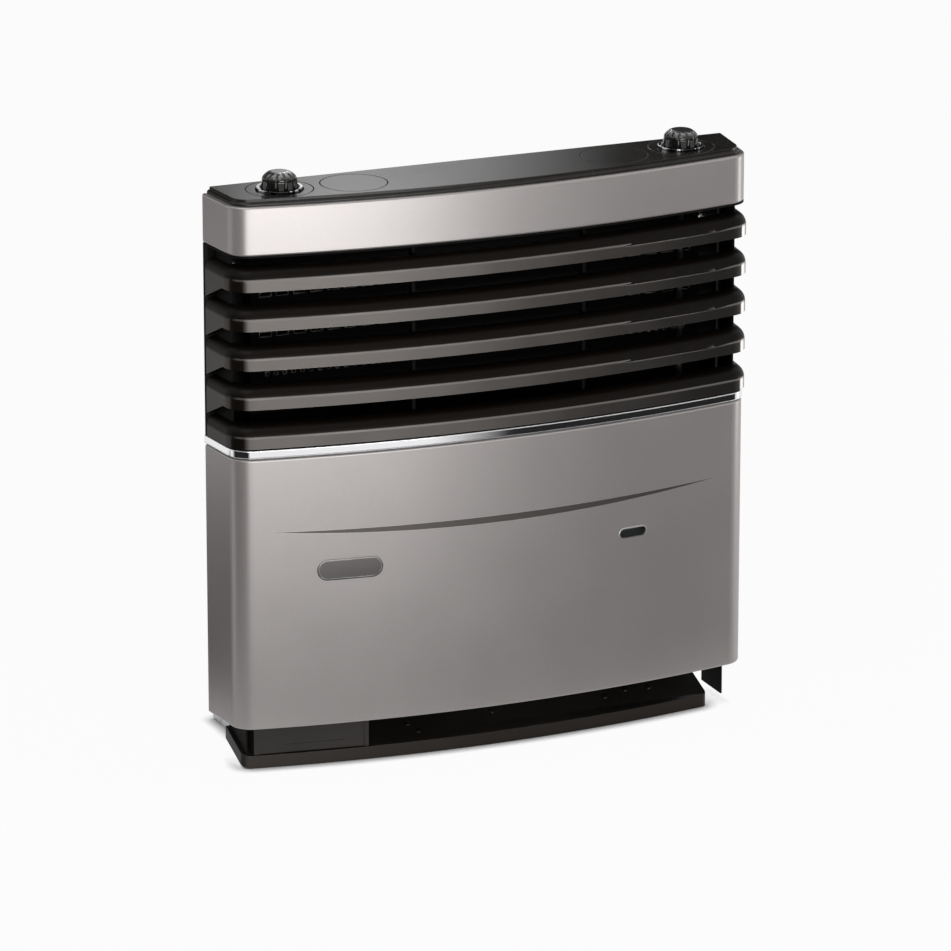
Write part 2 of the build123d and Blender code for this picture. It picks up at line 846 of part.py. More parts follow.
# Gas valve: block with a square socket for the plunger and two pipe bosses
with BuildPart() as gas_valve:
    with BuildSketch(Plane.XY.offset(valve_bottom)):
        with Locations((knob_x, knob_y)):
            RectangleRounded(valve_width, valve_depth, valve_round)
    extrude(amount=valve_height)
    chamfer(gas_valve.faces().sort_by(Axis.Z)[-1].edges(), valve_chamfer)
    with BuildSketch(Plane.YZ.offset(knob_x - valve_width / 2)):
        with Locations((knob_y, inlet_z)):
            Circle(valve_boss_radius)
    extrude(amount=-valve_boss)
    with BuildSketch(Plane.XZ.offset(-knob_y - valve_depth / 2)):
        with Locations((knob_x, inlet_z)):
            Circle(valve_boss_radius)
    extrude(amount=-valve_boss)
    with BuildSketch(Plane.XY.offset(valve_top)):
        with Locations((knob_x, knob_y)):
            socket_side = plunger_side + 2 * bush_clearance
            Rectangle(socket_side, socket_side)
    extrude(amount=-plunger_socket - knob_travel - fork_gap, mode=Mode.SUBTRACT)
    with BuildSketch(Plane.XY.offset(valve_top)):
        with Locations((knob_x, knob_y)):
            Circle(spindle_radius + running_gap)
    extrude(amount=-spindle_tail - knob_travel - fork_gap, mode=Mode.SUBTRACT)
finish(gas_valve, "gas_valve")

# Valve shelf: bent plate from the wall flange that carries the valve
shelf_left = knob_x - valve_width / 2
shelf_right = bracket_x - fit_gap
shelf_front = knob_y - valve_depth / 2
with BuildPart() as valve_shelf:
    with BuildSketch(Plane.XY.offset(shelf_height)):
        with BuildLine():
            Polyline(
                (shelf_left, shelf_front),
                (knob_x + valve_width / 2, shelf_front),
                (shelf_right, -sheet - shelf_thickness),
                (shelf_right, -sheet),
                (box_width / 2, -sheet),
                (shelf_left, -sheet),
                close=True,
            )
        make_face()
    extrude(amount=shelf_thickness)
    with BuildSketch(Plane.XY.offset(shelf_height + shelf_thickness)):
        with BuildLine():
            Polyline(
                (knob_x + valve_width / 2 + fit_gap, -sheet - shelf_thickness),
                (shelf_right, -sheet - shelf_thickness),
                (shelf_right, -sheet),
                (knob_x + valve_width / 2 + fit_gap, -sheet),
                close=True,
            )
        make_face()
    extrude(amount=shelf_upstand)
finish(valve_shelf, "valve_shelf")

# Installation box: open sheet box behind the wall plane, with a flange on three sides
inner_width = box_width - 2 * sheet
flange_height = box_height + flange_top - flange_foot
with BuildPart() as installation_box:
    with BuildSketch():
        Rectangle(box_width, box_depth, align=(Align.CENTER, Align.MIN))
    extrude(amount=box_height)
    with BuildSketch():
        Rectangle(box_width, floor_lip, align=(Align.CENTER, Align.MAX))
    extrude(amount=sheet)
    with BuildSketch(Plane.XY.offset(sheet)):
        Rectangle(inner_width, box_depth - sheet, align=(Align.CENTER, Align.MIN))
    extrude(amount=box_height - 2 * sheet, mode=Mode.SUBTRACT)
    with BuildSketch(Plane.XZ):
        with Locations((0, flange_foot)):
            Rectangle(2 * flange_half, flange_height, align=(Align.CENTER, Align.MIN))
        Rectangle(inner_width, box_height - sheet, align=(Align.CENTER, Align.MIN), mode=Mode.SUBTRACT)
        with Locations((0, (wall_hole_low + wall_hole_high) / 2)):
            with GridLocations(2 * wall_hole_x, wall_hole_high - wall_hole_low, 2, 2):
                Circle(wall_hole_radius, mode=Mode.SUBTRACT)
    extrude(amount=sheet)
    with BuildSketch(Plane.XZ.offset(-box_depth)):
        with Locations((flue_x, flue_z)):
            Circle(flue_radius + hole_gap)
        with Locations((intake_x, intake_z)):
            Circle(intake_radius + hole_gap)
        with Locations((knob_x, inlet_z)):
            Circle(pipe_radius + hole_gap)
        with Locations((0, fan_z)):
            Circle(eye_radius)
    extrude(amount=sheet, mode=Mode.SUBTRACT)
finish(installation_box, "installation_box")

# Casing brackets: side plates on the wall flange; the left one ends above the tray
with BuildPart() as casing_brackets:
    for side, foot_rear, foot_front in (
        (-1, tray_top(-sheet) + fit_gap, tray_top(-bracket_reach) + fit_gap),
        (1, bracket_foot, bracket_foot),
    ):
        with BuildSketch(Plane.YZ.offset(side * bracket_x)):
            with BuildLine():
                Polyline(
                    (-sheet, foot_rear),
                    (-bracket_reach, foot_front),
                    (-bracket_reach, bracket_top - bracket_bevel),
                    (bracket_bevel - bracket_reach, bracket_top),
                    (-sheet, bracket_top),
                    close=True,
                )
            make_face()
        extrude(amount=side * sheet)
finish(casing_brackets, "casing_brackets")

# Cladding clips: bent spring strips from the wall flange to the casing's inner sides
with BuildPart() as cladding_clips:
    for clip_level in (clip_low, clip_high):
        for side in (-1, 1):
            with BuildSketch(Plane.XY.offset(clip_level)):
                inner_wall = side_x(-clip_reach) - sheet - clip_gap
                with BuildLine():
                    Polyline(
                        (side * (flange_half - clip_height), -sheet),
                        (side * (flange_half - clip_height), -sheet - clip_thickness),
                        (side * (flange_half - clip_thickness), -sheet - clip_thickness),
                        (side * (inner_wall - 2 * clip_thickness), -clip_reach),
                        (side * (inner_wall - clip_thickness), -clip_reach - clip_thickness),
                        (side * inner_wall, -clip_reach),
                        (side * flange_half, -sheet),
                        close=True,
                    )
                make_face()
            extrude(amount=clip_height)
finish(cladding_clips, "cladding_clips")

# Base tray: bowed rail on the floor, a flat ledge, a sloping apron and two legs
with BuildPart() as base_tray:
    add(tray_block(0, (0, tray_top(0) - rail_height)))
    add(tray_block(tray_sheet, (-rail_height, -rail_height)), mode=Mode.SUBTRACT)
    with BuildSketch(Plane.XY.offset(sheet)):
        with GridLocations(2 * (half_box - wall_flange), 0, 2, 1):
            Rectangle(leg_width, tray_foot, align=(Align.CENTER, Align.MAX))
    extrude(amount=tray_top(-tray_foot) - leg_sink - sheet)
finish(base_tray, "base_tray")

# Igniter box: hollow housing on the ledge and apron, open at its straight front
with BuildPart() as igniter_box:
    add(igniter_block(0))
    add(igniter_block(igniter_wall), mode=Mode.SUBTRACT)
finish(igniter_box, "igniter_box")

# Battery: one cell lying in the igniter box, with its positive tip
battery_y = -(ledge_rear + igniter_back) / 2
battery_floor = tray_top(battery_y) + igniter_wall + 2 * fit_gap
battery_z = battery_floor + battery_radius / math.cos(math.atan(tray_slope))
battery_left = igniter_left + igniter_wall + fit_gap
with BuildPart() as battery:
    with BuildSketch(Plane.YZ.offset(battery_left)):
        with Locations((battery_y, battery_z)):
            Circle(battery_radius)
    extrude(amount=battery_length)
    with BuildSketch(Plane.YZ.offset(battery_left + battery_length)):
        with Locations((battery_y, battery_z)):
            Circle(battery_tip_radius)
    extrude(amount=battery_tip)
finish(battery, "battery")

# Battery cover: sliding front of the igniter box with grip ribs at both ends
chord_rise = igniter_front(igniter_right) - igniter_front(igniter_left)
chord_length = math.hypot(igniter_width, chord_rise)
cover_low = rail_height + cover_lift
cover_high = igniter_top - cover_low
cover_plane = Plane(
    origin=((igniter_left + igniter_right) / 2, igniter_front(igniter_left) + chord_rise / 2, cover_low),
    x_dir=(igniter_width, chord_rise, 0),
    z_dir=(chord_rise, -igniter_width, 0),
)
cover_anchor = (Align.CENTER, Align.MIN)
with BuildPart() as battery_cover:
    with BuildSketch(cover_plane.offset(fit_gap)):
        Rectangle(chord_length, cover_high, align=cover_anchor)
    extrude(amount=cover_thickness)
    with BuildSketch(cover_plane.offset(fit_gap + cover_thickness)):
        with GridLocations(chord_length - grip_width, 0, 2, 1):
            Rectangle(grip_width, cover_high, align=cover_anchor)
    extrude(amount=grip_proud)
    with BuildSketch(cover_plane.offset(fit_gap + cover_thickness)):
        with Locations((mark_shift, mark_rise)):
            SlotOverall(mark_length, mark_height)
    extrude(amount=-mark_depth, mode=Mode.SUBTRACT)
finish(battery_cover, "battery_cover")

# Guard panel: perforated tray-shaped sheet in front of the heat exchanger
guard_height = guard_top - guard_bottom
with BuildPart() as guard_panel:
    with BuildSketch(Plane.XZ.offset(sheet)):
        with Locations((0, (guard_top + guard_bottom) / 2)):
            Rectangle(guard_width, guard_height)
    extrude(amount=guard_reach - sheet)
    with BuildSketch(Plane.XZ.offset(sheet)):
        with Locations((0, (guard_top + guard_bottom) / 2)):
            Rectangle(guard_width - 2 * sheet, guard_height - 2 * sheet)
    extrude(amount=guard_reach - 2 * sheet, mode=Mode.SUBTRACT)
    with BuildSketch(Plane.XZ.offset(guard_reach)):
        with Locations((0, guard_row_top - guard_row_gap / 2)):
            with GridLocations(guard_slot_pitch, guard_row_gap, guard_slot_count, 2):
                Rectangle(guard_slot_length, guard_slot_height)
        with Locations((0, guard_row_top - 2 * guard_row_gap)):
            with GridLocations(guard_dot_pitch, 0, guard_dot_count, 1):
                Rectangle(guard_dot_side, guard_dot_side)
    extrude(amount=-sheet, mode=Mode.SUBTRACT)
finish(guard_panel, "guard_panel")

# Heat exchanger: rounded shell, open below, with upright fins, a flue hole and a sight hole
exchanger_height = exchanger_top - exchanger_bottom
exchanger_depth = exchanger_back - exchanger_front
with BuildPart() as heat_exchanger:
    with BuildSketch(Plane.XY.offset(exchanger_bottom)):
        with Locations((0, (exchanger_back + exchanger_front) / 2)):
            RectangleRounded(exchanger_width, exchanger_depth, exchanger_round)
    extrude(amount=exchanger_height)
    with BuildSketch(Plane.XY.offset(fin_bottom)):
        with Locations((0, exchanger_front)):
            with GridLocations(fin_pitch, 0, fin_count, 1):
                Rectangle(fin_thickness, fin_depth)
    extrude(amount=exchanger_top - fin_bottom - fin_depth)
    with BuildSketch(Plane.XY.offset(exchanger_bottom)):
        with Locations((0, (exchanger_back + exchanger_front) / 2)):
            RectangleRounded(
                exchanger_width - 2 * chamber_wall,
                exchanger_depth - 2 * chamber_wall,
                exchanger_round - chamber_wall,
            )
    extrude(amount=exchanger_height - chamber_wall, mode=Mode.SUBTRACT)
    with BuildSketch(Plane.XZ.offset(-exchanger_back)):
        with Locations((flue_x, flue_z)):
            Circle(flue_radius - spigot_wall)
    extrude(amount=chamber_wall, mode=Mode.SUBTRACT)
    with BuildSketch(Plane.XZ.offset(-exchanger_front)):
        with Locations((slot_x, slot_z)):
            Circle(sight_glass_radius)
    extrude(amount=-chamber_wall, mode=Mode.SUBTRACT)
finish(heat_exchanger, "heat_exchanger")

# Sight port: ring on the front of the heat exchanger, in line with the window slot
with BuildPart() as sight_frame:
    with BuildSketch(Plane.XZ.offset(-exchanger_front)):
        with Locations((slot_x, slot_z)):
            Circle(sight_radius)
            Circle(sight_glass_radius - sight_step, mode=Mode.SUBTRACT)
    extrude(amount=sight_reach)
    with BuildSketch(Plane.XZ.offset(sight_reach - exchanger_front)):
        with Locations((slot_x, slot_z)):
            Circle(sight_glass_radius)
    extrude(amount=-sight_seat, mode=Mode.SUBTRACT)
finish(sight_frame, "sight_frame")

# Sight glass: disc that lies in the step of the sight port
with BuildPart() as sight_glass:
    with BuildSketch(Plane.XZ.offset(sight_reach - exchanger_front - sight_seat)):
        with Locations((slot_x, slot_z)):
            Circle(sight_glass_radius - running_gap)
    extrude(amount=sight_glass_thickness)
finish(sight_glass, "sight_glass")

# Burner chamber: hollow box under the heat exchanger with holes for jet, probes and air
chamber_height = exchanger_bottom - chamber_bottom
chamber_depth = chamber_back - chamber_front
with BuildPart() as burner_chamber:
    with BuildSketch(Plane.XY.offset(chamber_bottom)):
        with Locations((0, (chamber_front + chamber_back) / 2)):
            Rectangle(chamber_width, chamber_depth)
    extrude(amount=chamber_height)
    with BuildSketch(Plane.XY.offset(chamber_bottom + chamber_wall)):
        with Locations((0, (chamber_front + chamber_back) / 2)):
            Rectangle(chamber_width - 2 * chamber_wall, chamber_depth - 2 * chamber_wall)
    extrude(amount=chamber_height - chamber_wall, mode=Mode.SUBTRACT)
    with BuildSketch(Plane.YZ.offset(chamber_width / 2)):
        with Locations((burner_y, burner_z)):
            Circle(jet_radius + fit_gap)
    extrude(amount=-chamber_wall, mode=Mode.SUBTRACT)
    with BuildSketch(Plane.XZ.offset(-chamber_front)):
        with Locations((electrode_x, probe_z)):
            Circle(electrode_radius + fit_gap)
        with Locations((thermocouple_x, probe_z)):
            Circle(thermocouple_radius + fit_gap)
    extrude(amount=-chamber_wall, mode=Mode.SUBTRACT)
    with BuildSketch(Plane.XZ.offset(-chamber_back)):
        with Locations((intake_x, intake_z)):
            Circle(intake_radius - spigot_wall)
    extrude(amount=chamber_wall, mode=Mode.SUBTRACT)
finish(burner_chamber, "burner_chamber")

# Burner: tube between the chamber's end walls with a row of flame slots on top
burner_length = chamber_width - 2 * chamber_wall
with BuildPart() as burner:
    with BuildSketch(Plane.YZ.offset(-burner_length / 2)):
        with Locations((burner_y, burner_z)):
            Circle(burner_radius)
            Circle(burner_radius - burner_wall, mode=Mode.SUBTRACT)
    extrude(amount=burner_length)
    with BuildSketch(Plane.XY.offset(burner_z)):
        with Locations((0, burner_y)):
            with GridLocations(burner_slot_pitch, 0, burner_slots, 1):
                Rectangle(burner_slot_width, burner_radius)
    extrude(amount=burner_radius, mode=Mode.SUBTRACT)
finish(burner, "burner")

# Burner jet: nozzle through the chamber's right wall, with a flange outside
jet_left = chamber_width / 2 - chamber_wall - jet_reach
with BuildPart() as burner_jet:
    with BuildSketch(Plane.YZ.offset(jet_left)):
        with Locations((burner_y, burner_z)):
            Circle(jet_radius)
            Circle(pipe_radius - spigot_wall, mode=Mode.SUBTRACT)
    extrude(amount=jet_length)
    with BuildSketch(Plane.YZ.offset(chamber_width / 2)):
        with Locations((burner_y, burner_z)):
            RegularPolygon(jet_radius + jet_flange, side_count=6)
            Circle(jet_radius, mode=Mode.SUBTRACT)
    extrude(amount=jet_flange)
finish(burner_jet, "burner_jet")

# Burner pipe: bent tube from the valve's left boss to the jet
pipe_corner = (pipe_bend_x, knob_y, inlet_z)
pipe_low_corner = (pipe_bend_x, burner_y, burner_z)
with BuildPart() as burner_pipe:
    with BuildLine() as pipe_path:
        FilletPolyline(
            (knob_x - valve_width / 2 - valve_boss, knob_y, inlet_z),
            pipe_corner,
            pipe_low_corner,
            (jet_left + jet_length, burner_y, burner_z),
            radius=pipe_bend,
        )
    with BuildSketch(Plane(origin=pipe_path.line @ 0, z_dir=pipe_path.line % 0)):
        Circle(pipe_radius)
    sweep(path=pipe_path.line)
finish(burner_pipe, "burner_pipe")

# Gas inlet pipe: tube from the valve's rear boss out through the box, wider where it shows
with BuildPart() as gas_inlet_pipe:
    with BuildSketch(Plane.XZ.offset(-knob_y - valve_depth / 2 - valve_boss)):
        with Locations((knob_x, inlet_z)):
            Circle(pipe_radius - inlet_step)
    extrude(amount=-(box_depth + inlet_reach - knob_y - valve_depth / 2 - valve_boss))
    with BuildSketch(Plane.XZ.offset(-box_depth)):
        with Locations((knob_x, inlet_z)):
            Circle(pipe_radius)
    extrude(amount=-inlet_reach)
    with BuildSketch(Plane.XZ.offset(-box_depth - inlet_reach)):
        with Locations((knob_x, inlet_z)):
            Circle(pipe_radius - spigot_wall)
    extrude(amount=box_depth + inlet_reach - knob_y - valve_depth / 2 - valve_boss, mode=Mode.SUBTRACT)
finish(gas_inlet_pipe, "gas_inlet_pipe")

# Spark electrode: ceramic body with a collar on the chamber's front and a bent wire
with BuildPart() as spark_electrode:
    with BuildSketch(Plane.XZ.offset(probe_reach - chamber_front)):
        with Locations((electrode_x, probe_z)):
            Circle(electrode_radius)
    extrude(amount=-probe_length)
    with BuildSketch(Plane.XZ.offset(-chamber_front)):
        with Locations((electrode_x, probe_z)):
            Circle(electrode_collar)
    extrude(amount=collar_height)
    with BuildSketch(Plane.XZ.offset(-chamber_front - probe_reach)):
        with Locations((electrode_x, probe_z)):
            Circle(electrode_wire)
    extrude(amount=-probe_tip)
finish(spark_electrode, "spark_electrode")

# Thermocouple: stepped probe with a collar on the chamber's front
with BuildPart() as thermocouple:
    with BuildSketch(Plane.XZ.offset(thermocouple_reach - chamber_front)):
        with Locations((thermocouple_x, probe_z)):
            Circle(thermocouple_radius)
    extrude(amount=-probe_length)
    with BuildSketch(Plane.XZ.offset(-chamber_front)):
        with Locations((thermocouple_x, probe_z)):
            Circle(thermocouple_collar)
    extrude(amount=collar_height)
finish(thermocouple, "thermocouple")

# Sensor bulb: thermostat sensor under the shelf, with its fine tube up to the valve
tube_side = knob_x - valve_width / 2
with BuildPart() as sensor_bulb:
    with BuildSketch(Plane.YZ.offset(bulb_x)):
        with Locations((-bulb_front, bulb_z)):
            Circle(bulb_radius)
    extrude(amount=bulb_length)
    with BuildLine() as tube_path:
        FilletPolyline(
            (bulb_x, -bulb_front, bulb_z),
            (bulb_x - tube_bend_out, -bulb_front, bulb_z),
            (bulb_x - tube_bend_out, -bulb_front, tube_level),
            (tube_side, -bulb_front, tube_level),
            radius=tube_bend,
        )
    with BuildSketch(Plane(origin=tube_path.line @ 0, z_dir=tube_path.line % 0)):
        Circle(tube_radius)
    sweep(path=tube_path.line)
finish(sensor_bulb, "sensor_bulb")

# Sensor clip: strip under the valve shelf with two loops around the bulb
clip_face = bulb_z + bulb_radius
with BuildPart() as sensor_clip:
    with BuildSketch(Plane.XY.offset(clip_face)):
        with Locations((bulb_x + bulb_length / 2, -bulb_front)):
            Rectangle(
                shelf_left + clip_width - bulb_x - bulb_length / 2,
                clip_width,
                align=(Align.MIN, Align.CENTER),
            )
    extrude(amount=shelf_height - clip_face)
    for loop_x in (bulb_x + bulb_length / 2, bulb_x + bulb_length - clip_width):
        with BuildSketch(Plane.YZ.offset(loop_x)):
            with Locations((-bulb_front, bulb_z)):
                Circle(bulb_radius + clip_thickness)
        extrude(amount=clip_width)
    with BuildSketch(Plane.YZ.offset(bulb_x)):
        with Locations((-bulb_front, bulb_z)):
            Circle(bulb_radius + running_gap)
    extrude(amount=bulb_length + clip_width, mode=Mode.SUBTRACT)
finish(sensor_clip, "sensor_clip")

# Exhaust and air spigots: tubes out through the box, stepped where the seal sits
for spigot_name, spigot_x, spigot_z, spigot_radius, spigot_front in (
    ("flue_spigot", flue_x, flue_z, flue_radius, exchanger_back),
    ("intake_spigot", intake_x, intake_z, intake_radius, chamber_back),
):
    with BuildPart() as spigot:
        with BuildSketch(Plane.XZ.offset(-spigot_front)):
            with Locations((spigot_x, spigot_z)):
                Circle(spigot_radius - spigot_step)
        extrude(amount=-(box_depth + seal_thickness - spigot_front))
        with BuildSketch(Plane.XZ.offset(-box_depth - seal_thickness)):
            with Locations((spigot_x, spigot_z)):
                Circle(spigot_radius)
        extrude(amount=seal_thickness - spigot_reach)
        with BuildSketch(Plane.XZ.offset(-spigot_front)):
            with Locations((spigot_x, spigot_z)):
                Circle(spigot_radius - spigot_wall)
        extrude(amount=-(box_depth + spigot_reach - spigot_front), mode=Mode.SUBTRACT)
    finish(spigot, spigot_name)

for seal_name, seal_x, seal_z, seal_radius in (
    ("flue_seal", flue_x, flue_z, flue_radius),
    ("intake_seal", intake_x, intake_z, intake_radius),
):
    with BuildPart() as seal:
        with BuildSketch(Plane.XZ.offset(-box_depth)):
            with Locations((seal_x, seal_z)):
                Circle(seal_radius + seal_width)
                Circle(seal_radius - spigot_step + running_gap, mode=Mode.SUBTRACT)
        extrude(amount=-seal_thickness)
        chamfer(seal.faces().sort_by(Axis.Y)[-1].edges(), seal_bevel)
    finish(seal, seal_name)

# Fan housing: scroll on the rear of the box with a round outlet spigot to the right
fan_rear = box_depth + fan_depth
outlet_z = fan_z + fan_radius - outlet_height / 2
with BuildPart() as fan_housing:
    with BuildSketch(Plane.XZ.offset(-box_depth)):
        with Locations((0, fan_z)):
            Circle(fan_radius)
        with Locations((outlet_reach / 2, outlet_z)):
            Rectangle(outlet_reach, outlet_height)
    extrude(amount=-fan_depth)
    fillet(fan_housing.faces().sort_by(Axis.Y)[-1].edges().filter_by(GeomType.CIRCLE), fan_round)
    with BuildSketch(Plane.XZ.offset(-box_depth - fan_wall)):
        with Locations((0, fan_z)):
            Circle(fan_radius - fan_wall)
        with Locations(((outlet_reach - fan_wall) / 2, outlet_z)):
            Rectangle(outlet_reach - fan_wall, outlet_height - 2 * fan_wall)
    extrude(amount=-(fan_depth - 2 * fan_wall), mode=Mode.SUBTRACT)
    with BuildSketch(Plane.YZ.offset(outlet_reach)):
        with Locations((box_depth + fan_depth / 2, outlet_z)):
            Circle(outlet_radius)
    extrude(amount=outlet_spigot)
    with BuildSketch(Plane.YZ.offset(outlet_reach - fan_wall)):
        with Locations((box_depth + fan_depth / 2, outlet_z)):
            Circle(outlet_radius - spigot_wall)
    extrude(amount=outlet_spigot + fan_wall, mode=Mode.SUBTRACT)
    with BuildSketch(Plane.XZ.offset(-box_depth)):
        with Locations((0, fan_z)):
            Circle(eye_radius)
    extrude(amount=-fan_wall, mode=Mode.SUBTRACT)
    with BuildSketch(Plane.XZ.offset(-fan_rear)):
        with Locations((0, fan_z)):
            Circle(shaft_radius + shaft_clearance)
    extrude(amount=fan_wall, mode=Mode.SUBTRACT)
finish(fan_housing, "fan_housing")

# Fan motor: round motor on the back of the fan housing, with a blind bore for the shaft
with BuildPart() as fan_motor:
    with BuildSketch(Plane.XZ.offset(-fan_rear)):
        with Locations((0, fan_z)):
            Circle(motor_radius)
    extrude(amount=-motor_length)
    chamfer(fan_motor.faces().sort_by(Axis.Y)[-1].edges(), motor_bevel)
    with BuildSketch(Plane.XZ.offset(-fan_rear)):
        with Locations((0, fan_z)):
            Circle(shaft_radius + running_gap)
    extrude(amount=-shaft_reach, mode=Mode.SUBTRACT)
finish(fan_motor, "fan_motor")

# Fan shaft: from the impeller's hub into the motor
shaft_front = box_depth + fan_gap + hub_inset
with BuildPart() as fan_shaft:
    with BuildSketch(Plane.XZ.offset(-shaft_front)):
        with Locations((0, fan_z)):
            Circle(shaft_radius)
    extrude(amount=-(fan_rear + shaft_reach - fit_gap - shaft_front))
finish(fan_shaft, "fan_shaft")

# Impeller: back plate with a hub and a crown of blades under a front ring
impeller_front = box_depth + fan_gap
impeller_rear = impeller_front + impeller_depth
with BuildPart() as impeller:
    with BuildSketch(Plane.XZ.offset(-impeller_rear)):
        with Locations((0, fan_z)):
            Circle(impeller_radius)
    extrude(amount=impeller_wall)
    with BuildSketch(Plane.XZ.offset(-impeller_rear)):
        with Locations((0, fan_z)):
            Circle(hub_radius)
    extrude(amount=impeller_rear - shaft_front + fit_gap)
    with BuildSketch(Plane.XZ.offset(-impeller_front)):
        with Locations((0, fan_z)):
            Circle(impeller_radius)
            Circle(impeller_radius - blade_length, mode=Mode.SUBTRACT)
    extrude(amount=-impeller_wall)
    with BuildSketch(Plane.XZ.offset(-impeller_front)):
        with Locations((0, fan_z)):
            with PolarLocations(impeller_radius - blade_length / 2, blade_count):
                Rectangle(blade_length - impeller_wall, impeller_wall, rotation=blade_pitch_angle)
    extrude(amount=-impeller_depth)
    with BuildSketch(Plane.XZ.offset(-impeller_rear)):
        with Locations((0, fan_z)):
            Circle(shaft_radius)
    extrude(amount=impeller_rear - shaft_front, mode=Mode.SUBTRACT)
finish(impeller, "impeller")
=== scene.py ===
import math

import bmesh
import bpy
from mathutils import Matrix, Vector


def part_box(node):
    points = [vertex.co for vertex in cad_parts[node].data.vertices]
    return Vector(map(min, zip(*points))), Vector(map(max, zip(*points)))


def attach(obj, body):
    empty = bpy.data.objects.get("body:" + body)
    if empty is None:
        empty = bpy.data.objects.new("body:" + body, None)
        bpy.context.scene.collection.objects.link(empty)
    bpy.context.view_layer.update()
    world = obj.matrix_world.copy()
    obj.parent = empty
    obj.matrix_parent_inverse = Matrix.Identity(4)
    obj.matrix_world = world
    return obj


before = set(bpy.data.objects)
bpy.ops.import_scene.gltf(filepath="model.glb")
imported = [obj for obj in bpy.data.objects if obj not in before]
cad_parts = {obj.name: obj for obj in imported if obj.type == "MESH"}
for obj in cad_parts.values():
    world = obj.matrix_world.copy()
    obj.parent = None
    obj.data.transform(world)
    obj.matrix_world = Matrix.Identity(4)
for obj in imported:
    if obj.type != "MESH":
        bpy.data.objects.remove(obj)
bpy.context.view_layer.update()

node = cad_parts

# Installation box: the open sheet box that sits in the furniture wall behind the heater,
# with the valve's shelf and the sensor's clip. Folded from hot-dipped zinc sheet, so it
# shows a faint spangle and rubbed bright folds. The front of its wall flange is coloured
# near black as painted shade, where it lies dark behind the grille.


def new_group(name, inputs, outputs):
    """An empty shader node group with its named sockets, and its two end nodes."""
    group = bpy.data.node_groups.new(name, "ShaderNodeTree")
    for label, kind, value in inputs:
        group.interface.new_socket(label, in_out="INPUT", socket_type=kind).default_value = value
    for label, kind in outputs:
        group.interface.new_socket(label, in_out="OUTPUT", socket_type=kind)
    return group, group.nodes.new("NodeGroupInput"), group.nodes.new("NodeGroupOutput")


def calc(tree, operation, *values, clamp=False):
    """A Math node fed with sockets or numbers; gives its result socket."""
    maths = tree.nodes.new("ShaderNodeMath")
    maths.operation = operation
    maths.use_clamp = clamp
    for place, value in enumerate(values):
        if isinstance(value, (int, float)):
            maths.inputs[place].default_value = value
        else:
            tree.links.new(value, maths.inputs[place])
    return maths.outputs[0]


def spread(tree, value, low, high, to_low, to_high):
    """A clamped Map Range; gives its result socket."""
    mapped = tree.nodes.new("ShaderNodeMapRange")
    tree.links.new(value, mapped.inputs["Value"])
    for label, number in (("From Min", low), ("From Max", high), ("To Min", to_low), ("To Max", to_high)):
        mapped.inputs[label].default_value = number
    return mapped.outputs["Result"]


def blend_colours(tree, share, first, second):
    """A colour Mix node; share, first and second are sockets or values."""
    mix = tree.nodes.new("ShaderNodeMix")
    mix.data_type = "RGBA"
    for label, value in (("Factor", share), ("A", first), ("B", second)):
        place = [s for s in mix.inputs if s.name == label and s.enabled][0]
        if isinstance(value, bpy.types.NodeSocket):
            tree.links.new(value, place)
        else:
            place.default_value = value if isinstance(value, float) else (*value[:3], 1.0)
    return [s for s in mix.outputs if s.enabled][0]


def noise(tree, where, scale, detail=3.0, rough=0.55):
    """A noise texture over the given coordinates; gives its factor socket."""
    texture = tree.nodes.new("ShaderNodeTexNoise")
    texture.inputs["Scale"].default_value = scale
    texture.inputs["Detail"].default_value = detail
    texture.inputs["Roughness"].default_value = rough
    tree.links.new(where, texture.inputs["Vector"])
    return texture.outputs["Fac"]


# Edge wear and glints: where a fold or rim is handled, the coat is thin and the edge shows bright; on the
# guard's slot rims and the tray the light edge is also a painted highlight.
edge_wear_and_glints, edge_in, edge_out = new_group(
    "edge_wear_and_glints",
    [("Width", "NodeSocketFloat", 0.0008), ("Amount", "NodeSocketFloat", 0.4),
     ("Breakup", "NodeSocketFloat", 90.0)],
    [("Mask", "NodeSocketFloat")],
)
rounded = edge_wear_and_glints.nodes.new("ShaderNodeBevel")
rounded.samples = 4
edge_wear_and_glints.links.new(edge_in.outputs["Width"], rounded.inputs["Radius"])
surface = edge_wear_and_glints.nodes.new("ShaderNodeNewGeometry")
turned = edge_wear_and_glints.nodes.new("ShaderNodeVectorMath")
turned.operation = "DOT_PRODUCT"
edge_wear_and_glints.links.new(rounded.outputs["Normal"], turned.inputs[0])
edge_wear_and_glints.links.new(surface.outputs["Normal"], turned.inputs[1])
edge_place = edge_wear_and_glints.nodes.new("ShaderNodeTexCoord")
edge_noise = edge_wear_and_glints.nodes.new("ShaderNodeTexNoise")
edge_noise.inputs["Detail"].default_value = 4.0
edge_wear_and_glints.links.new(edge_place.outputs["Object"], edge_noise.inputs["Vector"])
edge_wear_and_glints.links.new(edge_in.outputs["Breakup"], edge_noise.inputs["Scale"])
edge_found = spread(edge_wear_and_glints, turned.outputs["Value"], 0.985, 0.86, 0.0, 1.0)
edge_gaps = spread(edge_wear_and_glints, edge_noise.outputs["Fac"], 0.35, 0.65, 0.25, 1.0)
edge_patchy = calc(edge_wear_and_glints, "MULTIPLY", edge_found, edge_gaps)
edge_wear_and_glints.links.new(
    calc(edge_wear_and_glints, "MULTIPLY", edge_patchy, edge_in.outputs["Amount"]), edge_out.inputs["Mask"])

